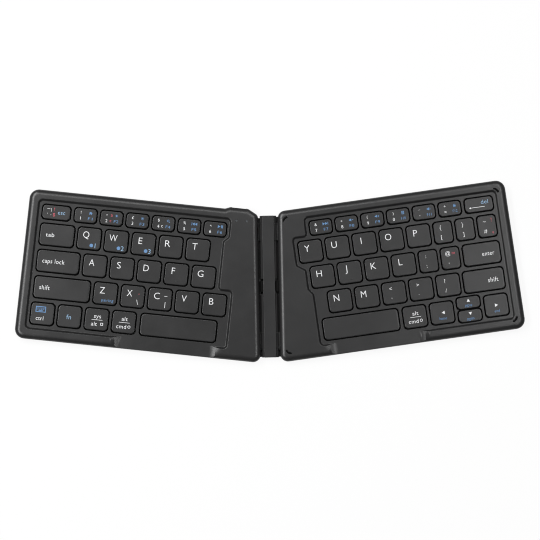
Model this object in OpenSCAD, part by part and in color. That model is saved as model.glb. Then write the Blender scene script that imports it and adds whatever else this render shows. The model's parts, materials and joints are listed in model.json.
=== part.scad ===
// Folding keyboard: two key halves, splayed like an open book, on a double-pinned spine.
// Origin: middle of the footprint, on the desk. +X to the right half, +Y to the rear, +Z up.
// Each half is drawn in its own frame: x runs outwards from the hinge line and y to the rear.
// The left half is the mirror image of that frame. Open and flat is the rest pose.

/* [Case] */
// Outer edge of a half, from the hinge line
half_reach = 145.4; // [143:0.1:160]
// Rear edge of a half, from the centre that the halves are splayed about
rear_reach = 42.9; // [42:0.1:48]
// Front edge of a half, from the same centre
front_reach = 45.15; // [44:0.05:50]
// Angle that each half is turned back by
splay = 7; // [3:0.5:9]
// Height of the rim above the desk
rim_top = 7.0; // [6.8:0.1:8.5]
// Height of the case's underside above the desk, which the feet bridge
ground_gap = 0.6; // [0.4:0.1:1]
// Height of the seam between the bottom cover and the top case
seam_z = 2.4; // [2.2:0.1:2.8]
// Thickness of the bottom cover
floor_t = 1.0; // [0.8:0.1:1.2]
// Thickness of the side walls
wall = 1.8; // [1.4:0.1:2.2]
// Radius of the outer corners seen from above
corner_r = 5.6; // [4:0.1:8]
// Radius of the corners beside the hinge
hinge_corner_r = 4.5; // [3:0.1:5.5]
// Rounding of the top edge, seen from the side
top_edge_r = 2.2; // [1:0.1:2.4]
// Rounding of the top edge, seen from above
top_edge_w = 3.4; // [2:0.1:4]
// Rounding of the bottom edge
bottom_edge_r = 1.3; // [0.6:0.1:1.5]

/* [Key deck] */
// Depth of the key deck below the rim
deck_drop = 1.2; // [0.8:0.1:1.5]
// Thickness of the key deck
deck_t = 0.9; // [0.7:0.1:1.2]
// Width of the filleted step from the rim down to the deck
step_w = 1.6; // [1:0.1:2]
// Width of the rim at the outer edge
rim_side = 6.1; // [5:0.1:8]
// Width of the rim at the rear edge
rim_rear = 5.9; // [5:0.1:7]
// Width of the rim at the front edge
rim_front = 6.3; // [5:0.1:7]
// Outer end of the thumb scoop in the front rim
scoop_far = 86.3; // [80:0.1:100]
// Inner end of the thumb scoop on the left half
scoop_near_left = 27.5; // [24:0.1:34]
// Inner end of the thumb scoop on the right half
scoop_near_right = 31; // [26:0.1:36]
// Length of the slope at each end of a scoop
scoop_ramp = 3.8; // [2:0.1:6]

/* [Keys] */
// Distance between letter keys
letter_pitch = 16; // [15.6:0.05:16.4]
// Distance between number keys
number_pitch = 15.275; // [14.8:0.025:15.6]
// Distance between the letter rows
row_pitch = 15.55; // [15:0.05:15.8]
// Distance from the top letter row to the number row
number_rise = 13.24; // [12.6:0.02:13.6]
// Middle of the home row, behind the splay centre
home_y = 1.36; // [0.5:0.02:2.2]
// Outer side of the outermost keys
field_edge = 136.65; // [135:0.05:137.2]
// Width of a letter key
letter_w = 13.4; // [12.6:0.1:13.8]
// Depth of a letter key
letter_d = 12.4; // [11.6:0.1:12.8]
// Width of a number key
number_w = 12.8; // [12:0.1:13.2]
// Depth of a number key
number_d = 8.1; // [7.4:0.1:8.6]
// Width of the narrow punctuation keys
narrow_w = 10.5; // [9.8:0.1:10.8]
// Width of a space key
space_w = 44.2; // [40:0.1:45]
// Depth of the up and down arrow keys
arrow_d = 6.7; // [6.2:0.1:7]
// Height of the key tops above the deck
cap_proud = 0.9; // [0.6:0.05:1.1]
// Height of a key cap from its skirt to its top
cap_h = 1.9; // [1.6:0.1:2]
// Thickness of a cap's top
cap_top_t = 1.1; // [0.8:0.05:1.2]
// Thickness of a cap's skirt
cap_skirt_t = 1.0; // [0.8:0.1:1.2]
// Rounding of the cap corners
cap_r = 2.1; // [1.2:0.1:2.6]
// Bevel round a cap's top
cap_bevel = 0.35; // [0.2:0.05:0.5]
// Clear gap round each cap
cap_gap = 0.7; // [0.5:0.05:0.8]

/* [Under the keys] */
// Height of the ribs that carry the support plate
rib_h = 0.5; // [0.4:0.05:0.6]
// Thickness of the support plate
plate_t = 0.4; // [0.3:0.05:0.5]
// Thickness of the switch membrane
membrane_t = 0.25; // [0.2:0.05:0.35]
// Thickness of the sheet that the domes stand on
dome_sheet_t = 0.2; // [0.15:0.05:0.3]
// Radius of a dome at its foot
dome_r = 1.9; // [1.6:0.1:2]
// Wall of a dome
dome_wall = 0.35; // [0.25:0.05:0.45]
// Thickness of a scissor link
link_t = 0.5; // [0.4:0.05:0.6]
// Width of the outer scissor link under a letter key
link_w = 10.2; // [9.6:0.1:10.6]

/* [Hinge] */
// Height of the hinge pins above the desk
pin_z = 3.4; // [3.3:0.05:3.6]
// Radius of the hinge pins
pin_r = 0.5; // [0.4:0.05:0.7]
// Radius of the barrels round the pins
barrel_r = 1.0; // [0.8:0.05:1.1]
// Distance from a pin to the wall of its half
pin_inset = 1.9; // [1.8:0.05:2.2]
// Air between the folded halves
fold_gap = 0.5; // [0.4:0.05:0.8]
// Half of the width of the spine's top
spine_edge = 3.5; // [3.2:0.05:3.55]
// Half of the length of the spine
spine_half = 41.6; // [40:0.1:42]
// Length of a half's hinge knuckle
knuckle_len = 10; // [6:0.5:12]
// Middle of each knuckle, from the middle of the spine
knuckle_y = 32; // [31:0.5:33.5]
// Width of the cable's way through the hinge
cable_bay = 9; // [7:0.5:12]

/* [Port and lights] */
// Middle of the charge port, from the hinge line
port_x = 22.2; // [21.5:0.1:23]
// Width of the charge port's metal shell
port_w = 7.5; // [7:0.1:9]
// Height of the charge port's metal shell
port_h = 2.4; // [2.3:0.05:2.5]
// Length of the charge port's metal shell
port_len = 5.2; // [4.5:0.1:7]
// Radius of an indicator light
light_r = 0.6; // [0.4:0.05:0.9]

/* [Fasteners and feet] */
// Radius of a foot
foot_r = 3.5; // [2.5:0.1:4]
// Depth of the pocket that a foot is glued into
foot_pocket = 0.3; // [0.2:0.05:0.4]
// Radius of a screw's shank
screw_r = 0.7; // [0.5:0.05:0.9]
// Radius of a screw's head
screw_head_r = 1.4; // [1.2:0.05:1.6]
// Length of a magnet along the rim
magnet_len = 14; // [8:0.5:18]

/* [Hidden] */

CASE = "#2b2b2d";
DECK = "#303032";
CAP = "#38383a";
STEEL = "#a9abad";
RUBBER = "#141414";
LINK = "#1c1c1e";

// Heights
deck_z = rim_top - deck_drop;
deck_under = deck_z - deck_t;
cap_top = deck_z + cap_proud;
cap_bottom = cap_top - cap_h;
cap_ceiling = cap_top - cap_top_t;
floor_z = ground_gap + floor_t;
plate_z = floor_z + rib_h;
membrane_z = plate_z + plate_t;
domes_z = membrane_z + membrane_t;
domes_top = domes_z + dome_sheet_t;
dome_crown = cap_ceiling - 0.05;
bay_ceiling = rim_top - 1;

// Hinge: the pins lie so that the folded halves stay parallel, fold_gap apart
pin_x = rim_top - pin_z + fold_gap / 2;
run = 0.3;              // clearance between the turning parts
pin_play = 0.03;        // radial running clearance of a pin
hinge_wall = pin_x + pin_inset;
spine_top = pin_z + pin_inset - run;
lip_t = 0.4;            // thickness of the lips that close the gaps beside the spine from below
lip_under = 0.3;        // how far a lip reaches under the spine
spine_foot = ground_gap + lip_t + 0.4;
spine_split = pin_z + barrel_r + 0.05;
pin_reach = spine_half - 0.5;
pin_len = 23;
web_root = 1;           // how far a knuckle's web reaches into the wall

// Footprint, which the origin is centred on
rear_most = (half_reach - corner_r) * sin(splay) + (rear_reach - corner_r) * cos(splay) + corner_r;
front_corner_y = hinge_corner_r - front_reach;
front_corner_x = (hinge_wall + hinge_corner_r + front_corner_y * sin(splay)) / cos(splay);
front_most = front_corner_x * sin(splay) + front_corner_y * cos(splay) - hinge_corner_r;
splay_y = -(rear_most + front_most) / 2;

// Distance outwards, in a half's frame, of the wall beside the hinge
function hinge_x(y) = (hinge_wall + y * sin(splay)) / cos(splay);

// Outlines: corners as [x, y, radius], anticlockwise seen from above.
// The left half's rear edge swells round the charge port and slopes in beside the hinge.
port_swell = 1.2;
port_half_w = 5.2;
rear_step = 2.1;
outer_corners = [
    [half_reach, -front_reach, corner_r],
    [half_reach, rear_reach, corner_r]];
right_outline = concat(outer_corners, [
    [hinge_x(rear_reach), rear_reach, hinge_corner_r],
    [hinge_x(-front_reach), -front_reach, hinge_corner_r]]);
left_outline = concat(outer_corners, [
    [port_x + port_half_w + 3, rear_reach, 2],
    [port_x + port_half_w, rear_reach + port_swell, 2.4],
    [port_x - port_half_w, rear_reach + port_swell, 3],
    [hinge_x(rear_reach - rear_step), rear_reach - rear_step, 3],
    [hinge_x(-front_reach), -front_reach, hinge_corner_r]]);

// Outlines of the sunk key decks, along the middle of the step
deck_far = half_reach - rim_side;
deck_rear = rear_reach - rim_rear;
deck_front = rim_front - front_reach;
deck_r = 2.5;
bay_reach = deck_far / 2;   // the room beside the hinge ends before this
left_deck = [
    [deck_far, deck_front, deck_r], [deck_far, deck_rear, deck_r],
    [26.3, deck_rear, deck_r], [26.3, 26, 1.5], [29.2, 23.3, 1.5], [29.2, -5.1, 2],
    [21.2, -5.1, 2.2], [21.2, deck_front, 2]];
right_deck = [
    [deck_far, deck_front, deck_r], [deck_far, deck_rear, deck_r],
    [25.8, deck_rear, deck_r], [25.8, 25.9, 1.8], [17.6, 25.9, 1.8], [17.6, 9.4, 1.5],
    [22.4, 6.2, 1.3], [22.4, -5.2, 1.3], [24.9, -8.4, 1.3], [24.9, deck_front, deck_r]];

// Rows: middle and depth of the caps in each
number_row = [home_y + row_pitch + number_rise, number_d];
top_row = [home_y + row_pitch, letter_d];
home_row = [home_y, letter_d];
lower_row = [home_y - row_pitch, letter_d];
space_row = [home_y - 2 * row_pitch, letter_d];
arrow_gap = 1.05;
up_row = [space_row[0] + (arrow_d + arrow_gap) / 2, arrow_d];
down_row = [space_row[0] - (arrow_d + arrow_gap) / 2, arrow_d];

// Keys: [x of the first cap, row, width, how many, pitch]
function one(x, row, w) = [x, row, w, 1, 0];
function outermost(row, w) = one(field_edge - w / 2, row, w);
LEFT_NUMBERS = [34.925, number_row, number_w, 6, number_pitch];
LEFT_ESCAPE = outermost(number_row, 16.2);
LEFT_TOP = [43.76, top_row, letter_w, 5, letter_pitch];
LEFT_TAB = outermost(top_row, 19.8);
LEFT_HOME = [38.77, home_row, letter_w, 5, letter_pitch];
LEFT_CAPS = outermost(home_row, 24.6);
LEFT_LOWER = [30.81, lower_row, letter_w, 5, letter_pitch];
LEFT_SHIFT = outermost(lower_row, 32.5);
LEFT_SPACE = one(50.3, space_row, space_w);
LEFT_ALT = one(82.32, space_row, letter_w);
LEFT_SYSTEM = one(98.32, space_row, letter_w);
LEFT_FUNCTION = one(114.32, space_row, letter_w);
LEFT_CONTROL = one(130.2, space_row, letter_w);
LEFT_KEYS = [
    LEFT_NUMBERS, LEFT_ESCAPE, LEFT_TOP, LEFT_TAB, LEFT_HOME, LEFT_CAPS, LEFT_LOWER, LEFT_SHIFT,
    LEFT_SPACE, LEFT_ALT, LEFT_SYSTEM, LEFT_FUNCTION, LEFT_CONTROL];
RIGHT_NUMBERS = [34.86, number_row, number_w, 6, number_pitch];
RIGHT_DELETE = outermost(number_row, 16.3);
RIGHT_TOP = [26.92, top_row, letter_w, 5, letter_pitch];
RIGHT_OPEN = one(105.4, top_row, narrow_w);
RIGHT_CLOSE = one(118.4, top_row, narrow_w);
RIGHT_HASH = outermost(top_row, narrow_w);
RIGHT_HOME = [31.88, home_row, letter_w, 4, letter_pitch];
RIGHT_SEMICOLON = one(94.4, home_row, narrow_w);
RIGHT_QUOTE = one(107.45, home_row, narrow_w);
RIGHT_ENTER = outermost(home_row, 21.4);
RIGHT_LOWER = [39.87, lower_row, letter_w, 5, letter_pitch];
RIGHT_SHIFT = outermost(lower_row, 23.6);
RIGHT_SPACE = one(50.07, space_row, space_w);
RIGHT_ALT = one(81.88, space_row, letter_w);
RIGHT_BACK = one(97.88, space_row, letter_w);
RIGHT_UP = one(113.88, up_row, letter_w);
RIGHT_DOWN = one(113.88, down_row, letter_w);
RIGHT_ONWARD = outermost(space_row, letter_w);
RIGHT_KEYS = [
    RIGHT_NUMBERS, RIGHT_DELETE, RIGHT_TOP, RIGHT_OPEN, RIGHT_CLOSE, RIGHT_HASH, RIGHT_HOME,
    RIGHT_SEMICOLON, RIGHT_QUOTE, RIGHT_ENTER, RIGHT_LOWER, RIGHT_SHIFT, RIGHT_SPACE, RIGHT_ALT,
    RIGHT_BACK, RIGHT_UP, RIGHT_DOWN, RIGHT_ONWARD];

// Places of the fasteners, feet and magnets, in a half's frame
screw_y = 34;
screw_places = [
    [deck_far + 1.9, screw_y], [deck_far + 1.9, -screw_y],
    [hinge_x(screw_y) + 4.6, screw_y], [hinge_x(-screw_y) + 4.6, -screw_y]];
boss_r = screw_r + 0.9;
screw_head_t = 0.5;
foot_in = 9;            // from the front and rear edges to the feet's middles
foot_side = 11;         // from the outer edge
foot_near = 12;         // from the wall beside the hinge
foot_rear = rear_reach - foot_in - 3;
foot_front = foot_in - front_reach;
foot_places = [
    [half_reach - foot_side, rear_reach - foot_in], [half_reach - foot_side, foot_front],
    [hinge_x(foot_rear) + foot_near, foot_rear], [hinge_x(foot_front) + foot_near, foot_front]];
magnet_w = 3;
magnet_t = 2.2;
magnet_y = 20;

// Boards and battery
board_t = 1;
board_near = 2.4;       // from the wall beside the hinge to the boards
board_side = 26.6;      // outer side of the main board behind the deck's step
board_waist = 18.6;     // its outer side beside the keys
chip = [9, 12, 1.6];
small_chip = [5, 5, 0.9];
battery_size = [13.4, 27, 3.6];
battery_at = [8.4, 8.65 - front_reach];
board_z = floor_z + 0.8;
board_top = board_z + board_t;
cable_w = 6;
cable_t = 0.2;
cable_in = 7;           // how far the cable reaches into each half
cable_z = board_top + 0.05;

// ---------- Outlines and lofts ----------

function unit(v) = v / norm(v);
function left_of(v) = [-v.y, v.x];
function turned(v, angle) = [v.x * cos(angle) - v.y * sin(angle), v.x * sin(angle) + v.y * cos(angle)];

// One corner of an outline: [point, turn, normal before it, shift for a unit inset, radius]
function corner(o, i) = let (
    n = len(o),
    here = [o[i].x, o[i].y],
    back = [o[(i + n - 1) % n].x, o[(i + n - 1) % n].y],
    next = [o[(i + 1) % n].x, o[(i + 1) % n].y],
    d1 = unit(here - back),
    d2 = unit(next - here),
    n1 = left_of(d1),
    n2 = left_of(d2))
    [here, atan2(cross(d1, d2), d1 * d2), n1, (n1 + n2) / (1 + n1 * n2), o[i][2]];

// Points of an outline drawn in by inset, with each corner as an arc of steps + 1 points
function drawn(o, inset = 0, steps = 5) = [
    for (i = [0:len(o) - 1]) let (
        c = corner(o, i),
        side = c[1] > 0 ? 1 : -1,
        r = max(c[4] - side * inset, 0.05),
        p = c[0] + inset * c[3],
        centre = p + side * r * c[3])
        for (k = [0:steps]) centre - side * r * turned(c[2], c[1] * k / steps)];

// A closed solid through outlines of equal length, from the lowest to the highest
module loft(levels) {
    n = len(levels[0][1]);
    m = len(levels);
    points = [for (level = levels) for (p = level[1]) [p.x, p.y, level[0]]];
    sides = [for (j = [0:m - 2]) for (i = [0:n - 1]) let (a = j * n + i, b = j * n + (i + 1) % n)
        each [[a, a + n, b + n], [a, b + n, b]]];
    polyhedron(points, concat([[for (i = [0:n - 1]) i], [for (i = [n - 1:-1:0]) (m - 1) * n + i]], sides));
}

module slab(outline, inset, z, t) translate([0, 0, z]) linear_extrude(t) polygon(drawn(outline, inset));

module on_right() translate([0, splay_y, 0]) rotate(splay) children();
module on_left() mirror([1, 0, 0]) on_right() children();

// ---------- Case ----------

edge_steps = 4;
ramp_steps = 6;
seam_groove = 0.2;
rib_near = 34;          // inner ends of the ribs that carry the support plate
rib_pitch = 15;
rib_t = 1.2;

// Levels of a top edge rounded over the height r and the width w, from its foot up to z
function top_edge(outline, z, r, w) = [
    for (k = [0:edge_steps]) let (a = 90 * k / edge_steps)
        [z - r + r * sin(a), drawn(outline, w * (1 - cos(a)))]];
// Levels of a bottom edge rounded with radius r, from z up
function bottom_edge(outline, z, r) = [
    for (k = [edge_steps:-1:0]) let (a = 90 * k / edge_steps)
        [z + r - r * sin(a), drawn(outline, r * (1 - cos(a)))]];

module case_outside(outline) loft(concat([[seam_z, drawn(outline)]], top_edge(outline, rim_top, top_edge_r, top_edge_w)));

module cover_outside(outline) loft(concat(
    bottom_edge(outline, ground_gap, bottom_edge_r),
    [[seam_z - seam_groove, drawn(outline)], [seam_z, drawn(outline, seam_groove)]]));

// The sunk deck: its walls run down in an S
module deck_pocket(deck) loft(concat(
    [for (k = [edge_steps:-1:0]) let (t = k / edge_steps)
        [deck_z + deck_drop * (1 + cos(180 * t)) / 2, drawn(deck, step_w * (t - 0.5))]],
    [[rim_top + 1, drawn(deck, -step_w / 2)]]));

// The thumb scoop: the front rim is cut down to the deck, with a sloping end on each side
module thumb_scoop(near) {
    half = (scoop_far - near + scoop_ramp) / 2;
    slope = [for (k = [0:ramp_steps]) let (t = k / ramp_steps)
        [half - scoop_ramp * (1 - t), deck_z + deck_drop * (1 - cos(180 * t)) / 2]];
    profile = concat(slope, [[half, rim_top + 1], [-half, rim_top + 1]],
        [for (i = [ramp_steps:-1:0]) [-slope[i].x, slope[i].y]]);
    translate([(near + scoop_far) / 2, deck_front + step_w, 0])
        rotate([90, 0, 0]) linear_extrude(rim_front + step_w + 1) polygon(profile);
}

function cap_outline(w, d, r = cap_r) = [
    [w / 2, -d / 2, r], [w / 2, d / 2, r], [-w / 2, d / 2, r], [-w / 2, -d / 2, r]];

module key_holes(groups) for (g = groups) for (i = [0:g[3] - 1])
    translate([g[0] + i * g[4], g[1][0], deck_under - 1]) linear_extrude(deck_t + 3)
        polygon(drawn(cap_outline(g[2] + 2 * cap_gap, g[1][1] + 2 * cap_gap), 0, 4));

// Room below the deck, and above it beside the hinge where the boards lie
module case_inside(outline, deck) {
    slab(outline, wall, seam_z - 1, deck_under - seam_z + 1);
    difference() {
        slab(outline, max(wall, top_edge_r), deck_under - 0.01, bay_ceiling - deck_under + 0.01);
        slab(deck, -step_w, deck_under - 1, deck_drop + 3);
        translate([bay_reach, -front_reach, deck_under - 1]) cube([half_reach, 2 * front_reach, 4]);
        translate([0, deck_rear - deck_r, deck_under - 1]) cube([half_reach, rim_rear + deck_r + 2, 4]);
        translate([0, -front_reach - 1, deck_under - 1]) cube([half_reach, rim_front + 2, 4]);
    }
}

module screw_bosses() for (p = screw_places)
    translate([p.x, p.y, floor_z]) cylinder(r = boss_r, h = bay_ceiling - floor_z + 0.3, $fn = 40);
module screw_bores() for (p = screw_places)
    translate([p.x, p.y, floor_z - 1]) cylinder(r = screw_r + 0.02, h = 4, $fn = 40);

// Two knuckles that stand out of the wall, round the pin, in the frame of the whole
module knuckles() for (s = [-1, 1]) translate([pin_x, s * knuckle_y - knuckle_len / 2, 0]) {
    translate([0, 0, pin_z]) rotate([-90, 0, 0]) cylinder(r = barrel_r, h = knuckle_len, $fn = 48);
    translate([0, 0, seam_z]) cube([pin_inset + web_root, knuckle_len, pin_z - seam_z]);
}
module knuckle_bores() for (s = [-1, 1]) translate([pin_x, s * knuckle_y - knuckle_len, pin_z])
    rotate([-90, 0, 0]) cylinder(r = pin_r + 0.01, h = 2 * knuckle_len, $fn = 48);

module cable_slot() translate([0, -cable_bay / 2, seam_z - 1]) cube([hinge_wall + 6, cable_bay, 2.6]);

// turn_back brings what is drawn in the whole's frame into a half's frame
module turn_back() rotate(-splay) translate([0, -splay_y, 0]) children();

// A lip on the bottom cover, which closes the gap beside the spine from below
module hinge_lip() translate([spine_edge - lip_under, hinge_corner_r - spine_half, ground_gap])
    cube([hinge_wall - spine_edge + lip_under + wall + 0.7, 2 * (spine_half - hinge_corner_r), lip_t]);

module top_case(outline, deck, groups, near) {
    difference() {
        union() {
            difference() {
                case_outside(outline);
                case_inside(outline, deck);
            }
            screw_bosses();
            turn_back() translate([0, splay_y, 0]) knuckles();
        }
        deck_pocket(deck);
        thumb_scoop(near);
        key_holes(groups);
        screw_bores();
        turn_back() translate([0, splay_y, 0]) {
            knuckle_bores();
            cable_slot();
        }
    }
}

module bottom_cover(outline) difference() {
    union() {
        difference() {
            cover_outside(outline);
            slab(outline, wall, floor_z, 5);
        }
        for (k = [-2:2]) translate([rib_near, k * rib_pitch, floor_z - 0.1])
            cube([deck_far - 4 - rib_near, rib_t, rib_h + 0.1]);
        turn_back() translate([0, splay_y, 0]) hinge_lip();
    }
    for (p = foot_places) translate([p.x, p.y, 0])
        cylinder(r = foot_r + 0.1, h = ground_gap + foot_pocket, $fn = 48);
    for (p = screw_places) translate([p.x, p.y, 0]) {
        cylinder(r = screw_head_r + 0.1, h = ground_gap + screw_head_t + 0.1, $fn = 40);
        cylinder(r = screw_r + 0.1, h = 4, $fn = 40);
    }
}

module feet() for (p = foot_places) translate([p.x, p.y, 0])
    rotate_extrude($fn = 48) polygon([
        [0, 0], [foot_r - 0.3, 0], [foot_r, 0.3],
        [foot_r, ground_gap + foot_pocket], [0, ground_gap + foot_pocket]]);

module screws() for (p = screw_places) translate([p.x, p.y, ground_gap + 0.1]) {
    cylinder(r = screw_head_r, h = screw_head_t, $fn = 40);
    cylinder(r = screw_r, h = 3.2, $fn = 40);
}

module magnets() for (s = [-1, 1])
    translate([deck_far + 0.9, s * magnet_y - magnet_len / 2, deck_under - magnet_t - 0.05])
        cube([magnet_w, magnet_len, magnet_t]);

module pins() for (s = [-1, 1])
    translate([pin_x, splay_y + (s > 0 ? pin_reach - pin_len : -pin_reach), pin_z])
    rotate([-90, 0, 0]) cylinder(r = pin_r, h = pin_len, $fn = 48);

// ---------- Under the keys ----------

module dome() rotate_extrude($fn = 32) polygon([
    [dome_r - dome_wall, domes_top - 0.05], [dome_r, domes_top - 0.05],
    [dome_r * 0.62, dome_crown - 0.5], [dome_r * 0.62, dome_crown],
    [0, dome_crown], [0, dome_crown - 0.4],
    [dome_r * 0.62 - dome_wall, dome_crown - 0.75]]);

module support_plate(deck) slab(deck, 0.9, plate_z, plate_t);
module membrane(deck) slab(deck, 1.2, membrane_z, membrane_t);
module dome_sheet(deck, groups) {
    difference() {
        slab(deck, 1.5, domes_z, dome_sheet_t);
        for (g = groups) for (i = [0:g[3] - 1]) translate([g[0] + i * g[4], g[1][0], domes_z - 1])
            cylinder(r = dome_r - dome_wall, h = 2, $fn = 32);
    }
    for (g = groups) for (i = [0:g[3] - 1]) translate([g[0] + i * g[4], g[1][0], 0]) dome();
}

// A scissor: two frames round the dome, crossed inside one another, from the dome sheet up to the cap.
// Each lifts its ends by half of the height between the sheet and the cap's ceiling.
link_rise = cap_ceiling - domes_top - 0.1;
link_bar = 0.7;
link_side = 0.2;        // air between the outer frame and the inner one
module link(w, len, lean) rotate([lean, 0, 0]) difference() {
    cube([w, len, link_t], center = true);
    cube([w - 2 * link_bar, len - 2 * link_bar, 2], center = true);
}
module scissor(w, len) {
    lean = asin((link_rise - link_t) / len);
    translate([0, 0, domes_top + 0.05 + link_rise / 2]) {
        link(w, len, lean);
        link(w - 2 * link_bar - 2 * link_side, len, -lean);
    }
}
// Keys that are too shallow for a scissor stand on their dome alone
module scissor_links(groups) for (g = groups) if (g[1][1] > arrow_d) for (i = [0:g[3] - 1])
    translate([g[0] + i * g[4], g[1][0], 0])
        scissor(min(link_w, g[2] - 2 * cap_skirt_t - 0.6), min(9.2, g[1][1] - 2 * cap_skirt_t - 0.5));

// ---------- Keys ----------

module cap(w, d) difference() {
    loft([
        [cap_bottom, drawn(cap_outline(w, d), 0, 4)],
        [cap_top - cap_bevel, drawn(cap_outline(w, d), 0.05, 4)],
        [cap_top, drawn(cap_outline(w, d), cap_bevel, 4)]]);
    translate([0, 0, cap_bottom - 1]) linear_extrude(cap_ceiling - cap_bottom + 1)
        polygon(drawn(cap_outline(w, d), cap_skirt_t, 4));
}
module caps(g) color(CAP) for (i = [0:g[3] - 1]) translate([g[0] + i * g[4], g[1][0], 0]) cap(g[2], g[1][1]);

module left_number_keys() on_left() caps(LEFT_NUMBERS);
module left_escape_key() on_left() caps(LEFT_ESCAPE);
module left_top_letter_keys() on_left() caps(LEFT_TOP);
module left_tab_key() on_left() caps(LEFT_TAB);
module left_home_letter_keys() on_left() caps(LEFT_HOME);
module left_caps_key() on_left() caps(LEFT_CAPS);
module left_lower_letter_keys() on_left() caps(LEFT_LOWER);
module left_shift_key() on_left() caps(LEFT_SHIFT);
module left_space_key() on_left() caps(LEFT_SPACE);
module left_alt_key() on_left() caps(LEFT_ALT);
module left_system_key() on_left() caps(LEFT_SYSTEM);
module left_function_key() on_left() caps(LEFT_FUNCTION);
module left_control_key() on_left() caps(LEFT_CONTROL);
module right_number_keys() on_right() caps(RIGHT_NUMBERS);
module right_delete_key() on_right() caps(RIGHT_DELETE);
module right_top_letter_keys() on_right() caps(RIGHT_TOP);
module right_open_bracket_key() on_right() caps(RIGHT_OPEN);
module right_close_bracket_key() on_right() caps(RIGHT_CLOSE);
module right_hash_key() on_right() caps(RIGHT_HASH);
module right_home_letter_keys() on_right() caps(RIGHT_HOME);
module right_semicolon_key() on_right() caps(RIGHT_SEMICOLON);
module right_quote_key() on_right() caps(RIGHT_QUOTE);
module right_enter_key() on_right() caps(RIGHT_ENTER);
module right_lower_letter_keys() on_right() caps(RIGHT_LOWER);
module right_shift_key() on_right() caps(RIGHT_SHIFT);
module right_space_key() on_right() caps(RIGHT_SPACE);
module right_alt_key() on_right() caps(RIGHT_ALT);
module right_left_arrow_key() on_right() caps(RIGHT_BACK);
module right_up_arrow_key() on_right() caps(RIGHT_UP);
module right_down_arrow_key() on_right() caps(RIGHT_DOWN);
module right_right_arrow_key() on_right() caps(RIGHT_ONWARD);

// ---------- Left half ----------

port_y = rear_reach + port_swell - 0.4;
port_z = board_top;
board_rear = rear_reach + port_swell - wall - 0.2;
port_skin = 0.3;
port_back = 0.8;        // thickness of the port's inner end
tongue_w = 4.6;
tongue_t = 0.6;

module port_hole() translate([port_x - port_w / 2 - 0.3, port_y - port_len - 0.3, port_z - 0.2])
    cube([port_w + 0.6, port_len + 3, port_h + 0.4]);

light_places = [[port_x - 5.2, rear_reach - 6.4], [port_x + 0.8, rear_reach - 6.65]];

module left_top_case() color(CASE) on_left() difference() {
    top_case(left_outline, left_deck, LEFT_KEYS, scoop_near_left);
    port_hole();
    for (p = light_places) translate([p.x, p.y, board_top]) cylinder(r = light_r + 0.05, h = 6, $fn = 32);
}
module left_bottom_cover() color(CASE) on_left() bottom_cover(left_outline);
module left_support_plate() color(STEEL) on_left() support_plate(left_deck);
module left_membrane() color("#b9c4b0") on_left() membrane(left_deck);
module left_dome_sheet() color("#d8d8d0") on_left() dome_sheet(left_deck, LEFT_KEYS);
module left_scissor_links() color(LINK) on_left() scissor_links(LEFT_KEYS);
module left_feet() color(RUBBER) on_left() feet();
module left_screws() color(STEEL) on_left() screws();
module left_magnets() color(STEEL) on_left() magnets();
module left_hinge_pins() color(STEEL) mirror([1, 0, 0]) pins();

module main_board() color("#1d4a2c") on_left() {
    difference() {
        translate([0, 0, board_z]) linear_extrude(board_t) polygon([
            [hinge_x(-26) + board_near, -26], [board_waist, -26], [board_waist, -2], [board_side, -2],
            [board_side, board_rear], [port_x - 4, board_rear], [port_x - 4, screw_y - 1],
            [hinge_x(screw_y) + 7.4, screw_y - 1], [hinge_x(26) + board_near, 26]]);
        for (p = screw_places) translate([p.x, p.y, 0]) cylinder(r = boss_r + 0.3, h = 9, $fn = 40);
    }
    translate([board_waist - 4.6, 10, board_top]) cube(chip);
    translate([board_waist - 7.6, -16, board_top]) cube(small_chip);
}
module charge_port() color(STEEL) on_left() translate([port_x, port_y - port_len, port_z]) {
    difference() {
        translate([-port_w / 2, 0, 0]) cube([port_w, port_len, port_h]);
        translate([port_skin - port_w / 2, port_back, port_skin])
            cube([port_w - 2 * port_skin, port_len, port_h - 2 * port_skin]);
    }
    translate([-tongue_w / 2, port_back - 0.1, (port_h - tongue_t) / 2])
        cube([tongue_w, port_len - port_back - 0.5, tongue_t]);
}
module indicator_lights() color("#e9eef0") on_left() for (p = light_places)
    translate([p.x, p.y, board_top + 0.05]) cylinder(r = light_r, h = rim_top - board_top - 0.05, $fn = 32);

// ---------- Spine ----------

// The spine's section along its whole length, without the room for the halves' knuckles
module spine_section() {
    for (s = [-1, 1]) translate([s * pin_x, -spine_half, pin_z])
        rotate([-90, 0, 0]) cylinder(r = barrel_r, h = 2 * spine_half, $fn = 48);
    translate([-spine_edge, -spine_half, spine_foot])
        cube([2 * spine_edge, 2 * spine_half, spine_top - spine_foot]);
}
module knuckle_room() for (sx = [-1, 1]) for (s = [-1, 1])
    translate([sx * pin_x, s * knuckle_y - knuckle_len / 2 - run, pin_z]) rotate([-90, 0, 0])
        cylinder(r = barrel_r + run, h = knuckle_len + 2 * run, $fn = 48);
module spine_bores() for (sx = [-1, 1]) for (s = [-1, 1])
    translate([sx * pin_x, s > 0 ? pin_reach - pin_len - run : -spine_half - 1, pin_z])
        rotate([-90, 0, 0])
            cylinder(r = pin_r + pin_play, h = spine_half - pin_reach + pin_len + run + 1, $fn = 48);
// Everything of the spine above z, or below it
module spine_part(z, above) translate([-hinge_wall, -spine_half - 1, above ? z : z - rim_top])
    cube([2 * hinge_wall, 2 * spine_half + 2, rim_top]);

module hinge_spine() color(CASE) translate([0, splay_y, 0]) difference() {
    spine_section();
    knuckle_room();
    spine_bores();
    spine_part(spine_split, true);
    translate([-hinge_wall, -cable_bay / 2, seam_z]) cube([2 * hinge_wall, cable_bay, rim_top]);
}
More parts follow.
